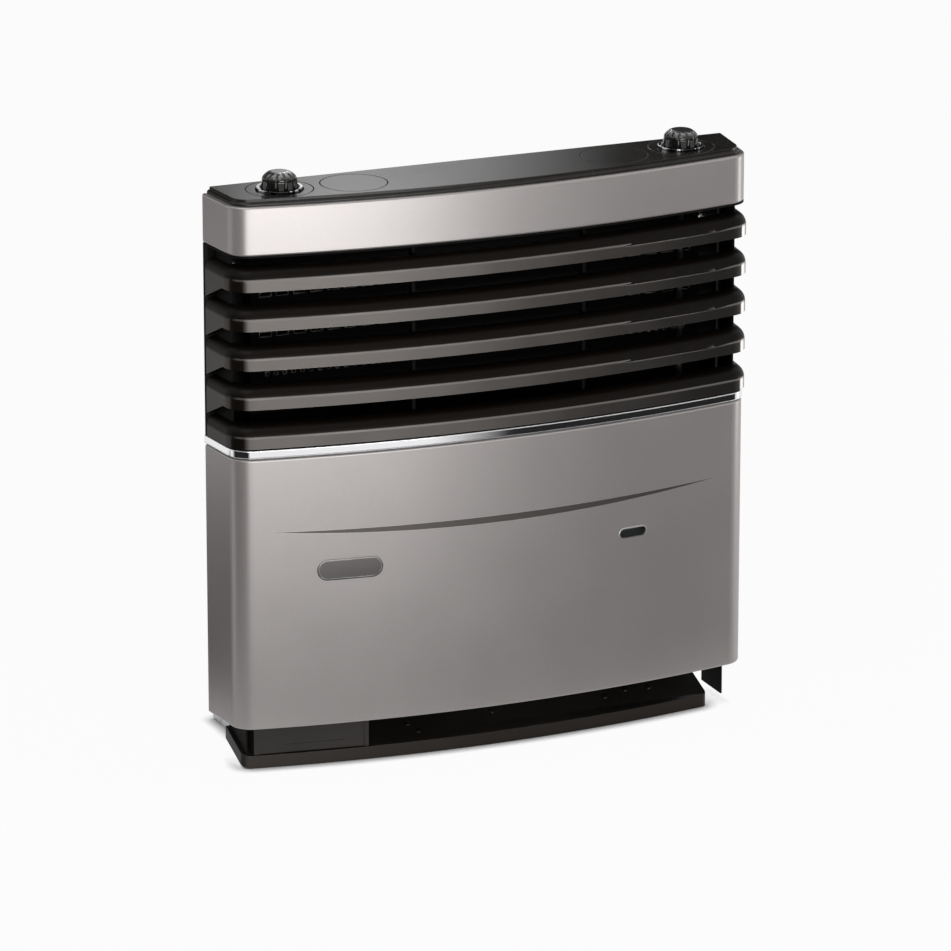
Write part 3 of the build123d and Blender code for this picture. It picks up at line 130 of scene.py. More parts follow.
# Settled dust: a thin grey film that gathers on faces that look up.
settled_dust, dust_in, dust_out = new_group(
    "settled_dust", [("Amount", "NodeSocketFloat", 0.1)], [("Mask", "NodeSocketFloat")]
)
dust_surface = settled_dust.nodes.new("ShaderNodeNewGeometry")
dust_split = settled_dust.nodes.new("ShaderNodeSeparateXYZ")
settled_dust.links.new(dust_surface.outputs["Normal"], dust_split.inputs[0])
dust_place = settled_dust.nodes.new("ShaderNodeTexCoord")
dust_clouds = noise(settled_dust, dust_place.outputs["Object"], 38.0, 6.0, 0.7)
dust_noise = spread(settled_dust, dust_clouds, 0.3, 0.7, 0.2, 1.0)
dust_up = spread(settled_dust, dust_split.outputs["Z"], 0.4, 0.95, 0.0, 1.0)
dust_found = calc(settled_dust, "MULTIPLY", dust_up, dust_noise)
settled_dust.links.new(
    calc(settled_dust, "MULTIPLY", dust_found, dust_in.outputs["Amount"]), dust_out.inputs["Mask"])

# Grain: the fine unevenness of a coat or cast skin, at two sizes, for bump and gloss.
coat_grain, grain_in, grain_out = new_group(
    "coat_grain",
    [("Scale", "NodeSocketFloat", 600.0), ("Stretch", "NodeSocketVector", (1.0, 1.0, 1.0))],
    [("Height", "NodeSocketFloat"), ("Patch", "NodeSocketFloat")],
)
grain_place = coat_grain.nodes.new("ShaderNodeTexCoord")
grain_stretch = coat_grain.nodes.new("ShaderNodeVectorMath")
grain_stretch.operation = "MULTIPLY"
coat_grain.links.new(grain_place.outputs["Object"], grain_stretch.inputs[0])
coat_grain.links.new(grain_in.outputs["Stretch"], grain_stretch.inputs[1])
grain_fine = coat_grain.nodes.new("ShaderNodeTexNoise")
grain_fine.inputs["Detail"].default_value = 2.0
coat_grain.links.new(grain_stretch.outputs["Vector"], grain_fine.inputs["Vector"])
coat_grain.links.new(grain_in.outputs["Scale"], grain_fine.inputs["Scale"])
coat_grain.links.new(grain_fine.outputs["Fac"], grain_out.inputs["Height"])
coat_grain.links.new(
    noise(coat_grain, grain_stretch.outputs["Vector"], 14.0, 5.0, 0.6), grain_out.inputs["Patch"])


def set_group(tree, group, **values):
    """Place a node group in a material with its own values."""
    placed = tree.nodes.new("ShaderNodeGroup")
    placed.node_tree = group
    for label, value in values.items():
        placed.inputs[label].default_value = value
    return placed


def finish(name, light, dark, rough, metal=0.0, grain=600.0, bump=0.1, worn=None, wear=0.35,
           width=0.0008, dust=0.0, stretch=(1.0, 1.0, 1.0), gloss=0.5, coat=0.0, coat_rough=0.1,
           between=(0.35, 0.65), vary=0.055, round_edge=0.0):
    """A surface finish: two shades in soft patches, fine grain, light edges for wear and painted
    highlights, and dust.
    """
    dust_colour, grain_height, smoothest = (0.36, 0.34, 0.31), 0.0002, 0.02
    material = bpy.data.materials.new(name)
    material.use_nodes = True
    tree = material.node_tree
    shader = tree.nodes["Principled BSDF"]
    texture = set_group(tree, coat_grain, Scale=grain, Stretch=stretch)
    colour = blend_colours(tree, spread(tree, texture.outputs["Patch"], *between, 0.0, 1.0), dark, light)
    shine = spread(tree, texture.outputs["Patch"], 0.3, 0.7, max(rough - vary, smoothest), rough + vary)
    if worn is not None:
        edge = set_group(tree, edge_wear_and_glints, Width=width, Amount=wear)
        colour = blend_colours(tree, edge.outputs["Mask"], colour, worn)
    if dust > 0:
        film = set_group(tree, settled_dust, Amount=dust)
        colour = blend_colours(tree, film.outputs["Mask"], colour, dust_colour)
        shine = calc(tree, "ADD", shine, calc(tree, "MULTIPLY", film.outputs["Mask"], 0.5), clamp=True)
    relief = tree.nodes.new("ShaderNodeBump")
    relief.inputs["Strength"].default_value = bump
    relief.inputs["Distance"].default_value = grain_height
    tree.links.new(texture.outputs["Height"], relief.inputs["Height"])
    if round_edge > 0:
        eased = tree.nodes.new("ShaderNodeBevel")
        eased.samples = 6
        eased.inputs["Radius"].default_value = round_edge
        tree.links.new(eased.outputs["Normal"], relief.inputs["Normal"])
    tree.links.new(colour, shader.inputs["Base Color"])
    tree.links.new(shine, shader.inputs["Roughness"])
    tree.links.new(relief.outputs["Normal"], shader.inputs["Normal"])
    shader.inputs["Metallic"].default_value = metal
    shader.inputs["Specular IOR Level"].default_value = gloss
    shader.inputs["Coat Weight"].default_value = coat
    shader.inputs["Coat Roughness"].default_value = coat_rough
    return material


def dress(material, *names):
    """Give CAD nodes this finish."""
    for name in names:
        node[name].data.materials.clear()
        node[name].data.materials.append(material)


def inlet(material, label):
    """An input socket of a finish's shader."""
    return material.node_tree.nodes["Principled BSDF"].inputs[label]


def place_in(tree):
    """Where a point lies on the piece, as sockets X, Y and Z."""
    place = tree.nodes.new("ShaderNodeTexCoord")
    split = tree.nodes.new("ShaderNodeSeparateXYZ")
    tree.links.new(place.outputs["Object"], split.inputs[0])
    return split.outputs


def coloured_cells(tree, scale):
    """Voronoi cells over the piece, each with a random colour; gives its red and green."""
    place = tree.nodes.new("ShaderNodeTexCoord")
    cells = tree.nodes.new("ShaderNodeTexVoronoi")
    cells.inputs["Scale"].default_value = scale
    tree.links.new(place.outputs["Object"], cells.inputs["Vector"])
    split = tree.nodes.new("ShaderNodeSeparateColor")
    tree.links.new(cells.outputs["Color"], split.inputs["Color"])
    return split.outputs["Red"], split.outputs["Green"]


def paint_over(material, share, colour):
    """Lay a colour over a finish, by its share at each point."""
    tree, base = material.node_tree, inlet(material, "Base Color")
    tree.links.new(blend_colours(tree, share, base.links[0].from_socket, colour), base)


zinc_sheet = finish("zinc_sheet", (0.56, 0.575, 0.59), (0.42, 0.435, 0.45), 0.36, metal=0.75, grain=900.0,
                    bump=0.05, worn=(0.78, 0.79, 0.8), wear=0.5)
zinc_tree = zinc_sheet.node_tree
crystal_tone, crystal_sheen = coloured_cells(zinc_tree, 95.0)
paint_over(zinc_sheet, spread(zinc_tree, crystal_tone, 0.0, 1.0, 0.0, 0.35), (0.68, 0.7, 0.72))
zinc_tree.links.new(spread(zinc_tree, crystal_sheen, 0.0, 1.0, 0.35, 0.46), inlet(zinc_sheet, "Roughness"))
# Painted shade: the flange's front, seen through the grille, is coloured near black.
flange_depth = 0.0012
flange_shade_share = calc(zinc_tree, "LESS_THAN", place_in(zinc_tree)["Y"], flange_depth)
paint_over(zinc_sheet, flange_shade_share, (0.012, 0.011, 0.0105))
dress(zinc_sheet, "installation_box", "valve_shelf", "sensor_clip")

# Fixings of the box: zinc-plated pan-head screws with a cross recess on plain washers
# hold its flange to the wall, and domed pop rivets join its sides, roof and back.
screw_zinc = finish("screw_zinc", (0.72, 0.72, 0.7), (0.58, 0.585, 0.58), 0.28, metal=1.0, grain=2500.0,
                    bump=0.05, worn=(0.86, 0.86, 0.86), wear=0.5, width=0.0003)
merge_within, flat_within = 1e-7, 1e-6
sharp_from = math.radians(38.0)


def keep(bm, name, material, body):
    """Turn a finished bmesh into a piece that rides on a body."""
    bmesh.ops.remove_doubles(bm, verts=bm.verts, dist=merge_within)
    bmesh.ops.recalc_face_normals(bm, faces=bm.faces)
    mesh = bpy.data.meshes.new(name)
    bm.to_mesh(mesh)
    bm.free()
    mesh.shade_smooth()
    mesh.set_sharp_from_angle(angle=sharp_from)
    mesh.materials.append(material)
    piece = bpy.data.objects.new(name, mesh)
    bpy.context.scene.collection.objects.link(piece)
    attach(piece, body)
    return piece


def soften(bm, edges, amount, segments=2):
    """Round the given edges."""
    bmesh.ops.bevel(bm, geom=edges, offset=amount, offset_type="OFFSET", affect="EDGES",
                    segments=segments, profile=0.5, material=-1, clamp_overlap=True)


def cap_at(bm, height):
    """The largest flat face of a turned blank at a height."""
    flat = [face for face in bm.faces
            if all(abs(vert.co.z - height) < flat_within for vert in face.verts)]
    return max(flat, key=lambda face: face.calc_area())


def pattern(bm):
    """Keep a bmesh as a mesh that is stamped many times."""
    mesh = bpy.data.meshes.new("pattern")
    bm.to_mesh(mesh)
    bm.free()
    return mesh


def stamp(bm, mesh, place, facing, size):
    """Add a copy of a pattern at a place, turned to a direction."""
    known = len(bm.verts)
    bm.from_mesh(mesh)
    bm.verts.ensure_lookup_table()
    turned = Vector(facing).to_track_quat("Z", "Y").to_matrix().to_4x4()
    move = Matrix.Translation(place) @ turned @ Matrix.Scale(size, 4)
    bmesh.ops.transform(bm, matrix=move, verts=bm.verts[known:])


def blank(radius_low, radius_high, height, segments=24, edge=0.1):
    """A turned blank that stands on Z = 0, with its upper edge rounded."""
    bm = bmesh.new()
    bmesh.ops.create_cone(bm, cap_ends=True, segments=segments, radius1=radius_low, radius2=radius_high,
                          depth=height)
    bmesh.ops.translate(bm, vec=(0.0, 0.0, height / 2), verts=bm.verts)
    soften(bm, list(cap_at(bm, height).edges), edge)
    return bm


def sink(bm, face, inset, depth):
    """Inset a face and push it in."""
    bmesh.ops.inset_region(bm, faces=[face], thickness=inset)
    pushed = bmesh.ops.extrude_face_region(bm, geom=[face])
    bmesh.ops.delete(bm, geom=[face], context="FACES_ONLY")
    low = [item for item in pushed["geom"] if isinstance(item, bmesh.types.BMVert)]
    bmesh.ops.translate(bm, vec=(0.0, 0.0, -depth), verts=low)


head_height, recess_waist = 0.6, 0.3
head_bm = blank(1.0, 0.88, head_height, edge=0.22)
head_cap = cap_at(head_bm, head_height)
bmesh.ops.inset_region(head_bm, faces=[head_cap], thickness=0.05)
for vert in head_cap.verts:
    arm = abs(math.cos(2.0 * math.atan2(vert.co.y, vert.co.x))) ** 5
    vert.co.xy *= recess_waist + (1.0 - recess_waist) * arm
sink(head_bm, head_cap, 0.01, 0.3)
screw_head = pattern(head_bm)

washer_height = 0.12
washer_bm = blank(1.0, 1.0, washer_height, segments=28, edge=0.04)
sink(washer_bm, cap_at(washer_bm, washer_height), 0.45, 0.02)
washer = pattern(washer_bm)

rivet_height = 0.3
rivet_bm = blank(1.0, 0.95, rivet_height, segments=18, edge=0.24)
sink(rivet_bm, cap_at(rivet_bm, rivet_height), 0.25, 0.2)
rivet = pattern(rivet_bm)

box_side, box_back, box_roof = 0.22, 0.1, 0.51
flange_face = -0.0015
washer_seat, washer_size, wall_screw_size = 0.0005, 0.0055, 0.004
wall_screws = bmesh.new()
for screw_x in (-0.235, 0.235):
    for screw_z in (0.11, 0.47):
        stamp(wall_screws, washer, (screw_x, flange_face, screw_z), (0, -1, 0), washer_size)
        screw_place = (screw_x, flange_face - washer_seat, screw_z)
        stamp(wall_screws, screw_head, screw_place, (0, -1, 0), wall_screw_size)
keep(wall_screws, "wall_screws", screw_zinc, "heater")

rivet_size = 0.0024
seam_in, seam_y = 0.0065, 0.09
box_rivets = bmesh.new()
for rivet_z in (0.03, 0.13, 0.23, 0.33, 0.43, 0.495):
    for side in (-1, 1):
        stamp(box_rivets, rivet, (side * box_side, seam_y, rivet_z), (side, 0, 0), rivet_size)
        rivet_place = (side * (box_side - seam_in), box_back, rivet_z)
        stamp(box_rivets, rivet, rivet_place, (0, 1, 0), rivet_size)
for rivet_x in (-0.15, -0.05, 0.05, 0.15):
    stamp(box_rivets, rivet, (rivet_x, box_back, box_roof - seam_in), (0, 1, 0), rivet_size)
    stamp(box_rivets, rivet, (rivet_x, seam_y, box_roof), (0, 0, 1), rivet_size)
keep(box_rivets, "box_rivets", screw_zinc, "heater")

# Folded joints of the box: narrow lips of the same sheet that turn round its rear edges
# and stand a little proud of its sides. They cover the heads of the rivets below them.
lip_sheet, lip_proud, lip_round = 0.0009, 0.0003, 0.0003
lip_width, lip_turned, lip_height, roof_lip_length = 0.0135, 0.019, 0.508, 0.413
lip_centre_x, lip_centre_y, lip_centre_z = 0.2138, 0.0905, 0.255
lips = []
for side in (-1, 1):
    lips.append(((lip_sheet, lip_turned, lip_height),
                 (side * (box_side + lip_proud), lip_centre_y, lip_centre_z)))
    lips.append(((lip_width, lip_sheet, lip_height),
                 (side * lip_centre_x, box_back + lip_proud, lip_centre_z)))
lips.append(((roof_lip_length, lip_sheet, lip_width), (0.0, box_back + lip_proud, box_roof - seam_in)))
lip_bm = bmesh.new()
for lip_size, lip_centre in lips:
    lip = bmesh.ops.create_cube(lip_bm, size=1.0)["verts"]
    bmesh.ops.scale(lip_bm, vec=lip_size, verts=lip)
    bmesh.ops.translate(lip_bm, vec=lip_centre, verts=lip)
soften(lip_bm, lip_bm.edges[:], lip_round)
keep(lip_bm, "box_lips", zinc_sheet, "heater")

# Base tray: steel folded and painted black-brown in the works. Its apron slopes up from
# the front rail to the wall box, with dust on it. The rail's front is painted lighter, most at
# its left end, as a painted highlight, and its light edges are partly wear and partly a painted highlight.


def facing_in(tree, surface):
    """Which way a point faces by this surface node, as sockets X, Y and Z."""
    split = tree.nodes.new("ShaderNodeSeparateXYZ")
    tree.links.new(surface.outputs["Normal"], split.inputs[0])
    return split.outputs


tray_paint = finish("tray_paint", (0.012, 0.0108, 0.01), (0.007, 0.0063, 0.0058), 0.4, grain=800.0,
                    bump=0.12, worn=(0.2, 0.18, 0.165), wear=0.8, width=0.0008, dust=0.008, gloss=0.12,
                    round_edge=0.001)
tray_tree = tray_paint.node_tree
tray_facing = facing_in(tray_tree, tray_tree.nodes.new("ShaderNodeNewGeometry"))
# Painted highlight: the rail's front faces are lighter, fading from the left end towards the middle.
rail_light_share = spread(tray_tree, tray_facing["Y"], -0.6, -0.9, 0.0, 0.8)
rail_light_fade = spread(tray_tree, place_in(tray_tree)["X"], -0.24, 0.0, 0.0, 1.0)
rail_lit_colour = blend_colours(tray_tree, rail_light_fade, (0.042, 0.035, 0.031), (0.016, 0.012, 0.01))
paint_over(tray_paint, rail_light_share, rail_lit_colour)
dress(tray_paint, "base_tray")

# Screws of the tray, brackets and guard: small blackened pan heads whose edges are worn a
# little lighter. On the apron they hold the box's lip and the burner chamber below it.
screw_black = finish("screw_black", (0.035, 0.0325, 0.031), (0.022, 0.0205, 0.0195), 0.4, metal=0.9,
                     grain=2500.0, bump=0.06, worn=(0.11, 0.105, 0.1), wear=0.7, width=0.0003)
apron_foot, apron_front, apron_slope = 0.012, 0.046, 0.35
apron_facing = (0, -0.33, 0.944)
bracket_side, bracket_y = 0.2428, -0.012
tray_screw_size = 0.0027
tray_screws = bmesh.new()
for screw_x, screw_y in ((-0.076, -0.032), (-0.07, -0.0435), (0.0105, -0.031), (0.1264, -0.0326),
                         (0.15, -0.0266), (0.1736, -0.028)):
    apron_z = apron_foot + apron_slope * max(apron_front + screw_y, 0.0)
    stamp(tray_screws, screw_head, (screw_x, screw_y, apron_z), apron_facing, tray_screw_size)
for side in (-1, 1):
    for screw_z in (0.05, 0.085):
        screw_place = (side * bracket_side, bracket_y, screw_z)
        stamp(tray_screws, screw_head, screw_place, (side, 0, 0), tray_screw_size)
keep(tray_screws, "tray_screws", screw_black, "heater")

# Cladding clips and the valve's spring: hardened spring steel, oil-blued and left bare. The
# clips hold the casing by its folded edges, and the spring pushes the plunger back.
spring_steel = finish("spring_steel", (0.35, 0.35, 0.36), (0.22, 0.225, 0.24), 0.3, metal=0.95,
                      grain=1500.0, bump=0.08, stretch=(1.0, 1.0, 0.15), worn=(0.6, 0.6, 0.6), wear=0.4)
dress(spring_steel, "cladding_clips", "valve_spring")

# Igniter box and its sliding battery cover: moulded black plastic with a fine spark grain.
# The box hangs under the casing at the right, and the cover slides off it to the side.
igniter_plastic = finish("igniter_plastic", (0.025, 0.0216, 0.0195), (0.017, 0.0147, 0.0133), 0.5,
                         grain=1900.0, bump=0.25, worn=(0.12, 0.11, 0.1), wear=0.4, width=0.0005,
                         dust=0.01, gloss=0.2)
dress(igniter_plastic, "igniter_box", "battery_cover")

# Battery: one round cell that feeds the igniter's spark. Its steel can is rolled into a
# plain dark sleeve with a copper-coloured band at the cap.
cell_jacket = finish("cell_jacket", (0.08, 0.09, 0.1), (0.055, 0.06, 0.07), 0.28, grain=500.0, bump=0.03,
                     worn=(0.5, 0.5, 0.5), wear=0.5, width=0.0004)
cell_tree = cell_jacket.node_tree
cell_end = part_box("battery")[1].x
band_start, band_solid = cell_end - 0.0135, cell_end - 0.0133
cell_band = spread(cell_tree, place_in(cell_tree)["X"], band_start, band_solid, 0.0, 1.0)
paint_over(cell_jacket, cell_band, (0.62, 0.44, 0.16))
dress(cell_jacket, "battery")

# Guard panel, grille frame and casing brackets: thin steel, painted matt black. The rims
# of the guard's slots and dots are coloured near white, partly bare punched steel and mostly
# a painted highlight, so they glint behind the louvres, while its ends beside the outermost screws stay
# black.
grille_paint = finish("grille_paint", (0.007, 0.0066, 0.0062), (0.0045, 0.0042, 0.004), 0.55,
                      grain=1100.0, bump=0.12, worn=(0.012, 0.0115, 0.011), wear=0.15, width=0.0005,
                      dust=0.002, gloss=0.03)
guard_black = (0.006, 0.0056, 0.0052)
guard_end, guard_face, guard_screw_size = 0.221, -0.02, 0.0028
# Painted highlight: this finish's near white edge colour marks the slot and dot rims.
punched_sheet = finish("punched_sheet", guard_black, (0.004, 0.0038, 0.0036), 0.5, grain=1100.0,
                       bump=0.12, worn=(0.9, 0.87, 0.83), wear=1.0, width=0.0016, dust=0.004, gloss=0.06)
punched_tree = punched_sheet.node_tree
guard_side = calc(punched_tree, "ABSOLUTE", place_in(punched_tree)["X"])
guard_end_share = spread(punched_tree, guard_side, guard_end, guard_end + 0.001, 0.0, 1.0)
paint_over(punched_sheet, guard_end_share, guard_black)
dress(grille_paint, "grille_frame", "casing_brackets")
dress(punched_sheet, "guard_panel")
guard_screws = bmesh.new()
for screw_x in (-0.217, -0.11, 0.11, 0.217):
    for screw_z in (0.2965, 0.4925):
        screw_place = (screw_x, guard_face, screw_z)
        stamp(guard_screws, screw_head, screw_place, (0, -1, 0), guard_screw_size)
keep(guard_screws, "guard_screws", screw_black, "heater")

# Heat exchanger and burner chamber: welded steel in silvery heat-proof paint, browned by
# the heat of the gas that burns in them.
heater_paint = finish("heater_paint", (0.42, 0.395, 0.37), (0.27, 0.235, 0.205), 0.62, grain=700.0,
                      bump=0.3, worn=(0.2, 0.17, 0.15), wear=0.5, dust=0.12, gloss=0.3)
dress(heater_paint, "heat_exchanger", "burner_chamber")

# Weld beads: the sight port and the flue spigot are welded on all round. The arc leaves a
# rippled bead of overlapping scales, browned by the heat.
weld_scale = finish("weld_scale", (0.2, 0.15, 0.12), (0.1, 0.085, 0.08), 0.42, metal=0.8,
                    grain=1500.0, bump=0.3, worn=(0.4, 0.34, 0.3), wear=0.4, width=0.0003)


def weld_ring(bm, centre, radius, bead):
    """Add a rippled bead round an axis along Y."""
    scales, ripple = 18.0, 0.22
    around, sides = 72, 8
    arc = [bm.verts.new((radius + bead * math.cos(turned), 0.0, bead * math.sin(turned)))
           for turned in (math.radians(step * 360.0 / sides) for step in range(sides))]
    loop = [bm.edges.new((arc[step], arc[(step + 1) % sides])) for step in range(sides)]
    known = len(bm.verts) - sides
    bmesh.ops.spin(bm, geom=arc + loop, cent=(0, 0, 0), axis=(0, 0, 1), angle=math.tau, steps=around,
                   use_merge=True)
    bm.verts.ensure_lookup_table()
    for vert in bm.verts[known:]:
        swing = math.atan2(vert.co.y, vert.co.x)
        away = math.hypot(vert.co.x, vert.co.y) - radius
        grow = 1.0 + ripple * abs(math.sin(scales * swing))
        reach = radius + away * grow
        vert.co = Vector((math.cos(swing) * reach, math.sin(swing) * reach, vert.co.z * grow))
    turn_y = Matrix.Translation(centre) @ Matrix.Rotation(math.radians(90.0), 4, "X")
    bmesh.ops.transform(bm, matrix=turn_y, verts=bm.verts[known:])


sight_x, sight_z = 0.132, 0.1947
weld_bm = bmesh.new()
weld_ring(weld_bm, centre=(sight_x, 0.008, sight_z), radius=0.0142, bead=0.0011)
weld_ring(weld_bm, centre=(-0.11, 0.088, 0.43), radius=0.0272, bead=0.0014)
keep(weld_bm, "weld_beads", weld_scale, "heater")

# Burner, sight port and flue spigot: stainless steel, turned and welded, which the heat
# has given straw and blue tints. It is left bare, with fine lines along it.
tinted_steel = finish("tinted_steel", (0.55, 0.5, 0.43), (0.36, 0.33, 0.38), 0.3, metal=1.0, grain=1300.0,
                      bump=0.08, stretch=(1.0, 0.12, 1.0), worn=(0.75, 0.74, 0.72), wear=0.4)
dress(tinted_steel, "burner", "sight_frame", "flue_spigot")

# Sight glass and window glass: heat-proof glass with a smoky tint. The pilot flame is seen
# through both, one behind the other; they are dark because nothing lit is behind them.
clear_glass = finish("clear_glass", (0.42, 0.44, 0.43), (0.36, 0.38, 0.37), 0.05, grain=300.0,
                     bump=0.01, worn=(0.6, 0.6, 0.6), wear=0.2, width=0.0004, gloss=0.06)
inlet(clear_glass, "Transmission Weight").default_value = 1.0
dress(clear_glass, "sight_glass", "window_glass")

# Gas valve: a die-cast alloy block with a sandy skin and machined bosses. It is screwed to
# its shelf at the right, and the gas knob's rod works it from above.
valve_alloy = finish("valve_alloy", (0.6, 0.6, 0.6), (0.48, 0.48, 0.485), 0.46, metal=0.8,
                     grain=1000.0, bump=0.4, worn=(0.82, 0.82, 0.82), wear=0.6)
dress(valve_alloy, "gas_valve")

# Plunger and jet are turned from brass bar, which leaves fine rings round them. The
# thermocouple and the sensor bulb are drawn from copper tube, with lines along it.
turned_brass = finish("turned_brass", (0.78, 0.56, 0.27), (0.62, 0.42, 0.18), 0.27, metal=1.0,
                      grain=1600.0, bump=0.08, stretch=(1.0, 1.0, 0.2), worn=(0.9, 0.72, 0.42),
                      wear=0.5, width=0.0004)
drawn_copper = finish("drawn_copper", (0.74, 0.39, 0.26), (0.52, 0.25, 0.16), 0.3, metal=1.0,
                      grain=1400.0, bump=0.06, stretch=(0.15, 1.0, 1.0), worn=(0.88, 0.55, 0.4),
                      wear=0.4, width=0.0004)
dress(turned_brass, "valve_plunger", "burner_jet")
dress(drawn_copper, "thermocouple", "sensor_bulb")

# Spindles, fan shaft and gas pipes: drawn steel with fine lines along it and a thin zinc
# coat. The pipes are bent cold, and the spindles and the shaft are cut from bar.
drawn_steel = finish("drawn_steel", (0.6, 0.6, 0.59), (0.46, 0.465, 0.47), 0.3, metal=0.95,
                     grain=1500.0, bump=0.06, stretch=(1.0, 1.0, 0.08), worn=(0.8, 0.8, 0.8), wear=0.4,
                     width=0.0004)
dress(drawn_steel, "fan_spindle", "valve_spindle", "fan_shaft", "burner_pipe", "gas_inlet_pipe")

# Gas rod: the long drawn bar from the gas knob down to the valve. It is coloured black as
# painted shade, so that it doesn't show through the grille.
rod_shade_black = finish("rod_shade_black", (0.035, 0.034, 0.033), (0.02, 0.0195, 0.019), 0.5, metal=0.2,
                       grain=1500.0, bump=0.08, stretch=(1.0, 1.0, 0.08), worn=(0.12, 0.115, 0.11),
                       wear=0.4, width=0.0004, gloss=0.2)
dress(rod_shade_black, "gas_rod")

# Union nuts: cutting-ring nuts of plated steel that hold the gas pipes on the valve and on
# the burner's jet. Each is a hexagon with chamfered corners and a short collar.
nut_length, neck_length, neck_narrowing = 1.1, 0.35, 0.82
nut_bm = bmesh.new()
bmesh.ops.create_cone(nut_bm, cap_ends=True, segments=6, radius1=1.0, radius2=1.0, depth=nut_length)
bmesh.ops.translate(nut_bm, vec=(0.0, 0.0, nut_length / 2), verts=nut_bm.verts)
level_edges = [edge for edge in nut_bm.edges
               if abs(edge.verts[0].co.z - edge.verts[1].co.z) < flat_within]
soften(nut_bm, level_edges, 0.08)
bmesh.ops.inset_region(nut_bm, faces=[cap_at(nut_bm, nut_length)], thickness=0.2)
nut_neck = bmesh.ops.extrude_face_region(nut_bm, geom=[cap_at(nut_bm, nut_length)])
neck_verts = [item for item in nut_neck["geom"] if isinstance(item, bmesh.types.BMVert)]
bmesh.ops.translate(nut_bm, vec=(0.0, 0.0, neck_length), verts=neck_verts)
bmesh.ops.scale(nut_bm, vec=(neck_narrowing, neck_narrowing, 1.0), verts=neck_verts)
union_nut = pattern(nut_bm)
valve_nut_size, jet_nut_size = 0.0083, 0.0078
unions = bmesh.new()
stamp(unions, union_nut, (0.1705, -0.0326, 0.08), (-1, 0, 0), valve_nut_size)
stamp(unions, union_nut, (0.2, -0.0078, 0.08), (0, 1, 0), valve_nut_size)
stamp(unions, union_nut, (0.131, 0.046, 0.056), (1, 0, 0), jet_nut_size)
keep(unions, "union_nuts", screw_zinc, "heater")

# Spark electrode: a rod of glazed white ceramic round a wire that ends over the burner. It
# goes through the chamber's wall, and its edges have browned a little.
glazed_ceramic = finish("glazed_ceramic", (0.82, 0.81, 0.77), (0.72, 0.7, 0.65), 0.18, grain=800.0,
                        bump=0.05, worn=(0.4, 0.36, 0.3), wear=0.35, width=0.0004)
dress(glazed_ceramic, "spark_electrode")

# Seals: black silicone rings, matt and faintly dusty, moulded in one piece. They are
# pressed between the spigots and the box, so that no fumes get in.
seal_rubber = finish("seal_rubber", (0.03, 0.03, 0.03), (0.018, 0.018, 0.019), 0.72, grain=1500.0, bump=0.3,
                     worn=(0.09, 0.09, 0.09), wear=0.3, dust=0.12, gloss=0.3)
dress(seal_rubber, "flue_seal", "intake_seal")

# Warm-air fan and intake spigot: dark moulded plastic with flow marks. The housing is
# screwed to the back of the box with the impeller inside it.
fan_plastic = finish("fan_plastic", (0.045, 0.046, 0.05), (0.03, 0.031, 0.034), 0.48, grain=1300.0,
                     bump=0.2, worn=(0.14, 0.14, 0.145), wear=0.4, width=0.0006, dust=0.1, gloss=0.4)
dress(fan_plastic, "fan_housing", "impeller", "intake_spigot")

# Fan motor: a drawn steel can in grey enamel, set in the middle of the fan's cover. Six
# screws round it close the housing.
motor_enamel = finish("motor_enamel", (0.2, 0.21, 0.23), (0.15, 0.16, 0.175), 0.34, grain=500.0, bump=0.08,
                      worn=(0.5, 0.5, 0.5), wear=0.5, dust=0.08)
dress(motor_enamel, "fan_motor")
fan_height, cover_back, screw_circle, fan_screw_size = 0.25, 0.158, 0.0635, 0.0026
fan_fixings = bmesh.new()
for swing in (200.0, 245.0, 290.0, 335.0, 150.0, 100.0):
    across, up = math.cos(math.radians(swing)), math.sin(math.radians(swing))
    place = Vector((screw_circle * across, cover_back, fan_height + screw_circle * up))
    stamp(fan_fixings, screw_head, place, (0, 1, 0), fan_screw_size)
keep(fan_fixings, "fan_screws", screw_zinc, "heater")

# Fan control and push sleeve: the fan's switch is a moulded nylon block under the cover,
# and the gas knob's square sleeve has the matt black of the grille.
plain_nylon = finish("plain_nylon", (0.06, 0.06, 0.062), (0.04, 0.04, 0.042), 0.45, grain=1200.0, bump=0.15,
                     worn=(0.16, 0.16, 0.16), wear=0.35, width=0.0005)
dress(plain_nylon, "fan_control")
dress(grille_paint, "push_sleeve")

# Casing panels: steel sheet in a titanium-grey metallic lacquer. The flakes give a fine
# sparkle under a thin clear coat, and the folded rims are rubbed a little brighter.
casing_paint = finish("casing_paint", (0.335, 0.314, 0.309), (0.32, 0.3, 0.295), 0.36, metal=0.6,
                      grain=1400.0, bump=0.05, worn=(0.66, 0.645, 0.62), wear=0.6, width=0.0011,
                      gloss=0.3, coat=0.1, coat_rough=0.22, between=(0.2, 0.8), vary=0.01)
casing_tree = casing_paint.node_tree
flake_tone = coloured_cells(casing_tree, 2600.0)[0]
paint_over(casing_paint, spread(casing_tree, flake_tone, 0.55, 1.0, 0.0, 0.12), (0.55, 0.54, 0.52))
dress(casing_paint, "lower_panel", "top_band")

# Crescent groove: a shallow crease pressed into the panel. Its inside is coloured dark as
# painted shade from its upper lip, so it shows as a dark sickle with a lighter lower edge.
panel_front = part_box("lower_panel")[0].y
bow_radius = 1.2271
groove_height, groove_band, groove_half = 0.2285, 0.0125, 0.224
groove_from, groove_floor, groove_shade_strength = 0.00035, 0.0012, 0.93
panel_at = place_in(casing_tree)
bow_drop = calc(casing_tree, "SQRT", calc(casing_tree, "SUBTRACT", bow_radius ** 2,
                calc(casing_tree, "MULTIPLY", panel_at["X"], panel_at["X"])))
from_axis = calc(casing_tree, "ADD", panel_at["Y"], bow_drop)
depth = calc(casing_tree, "SUBTRACT", from_axis, panel_front + bow_radius)
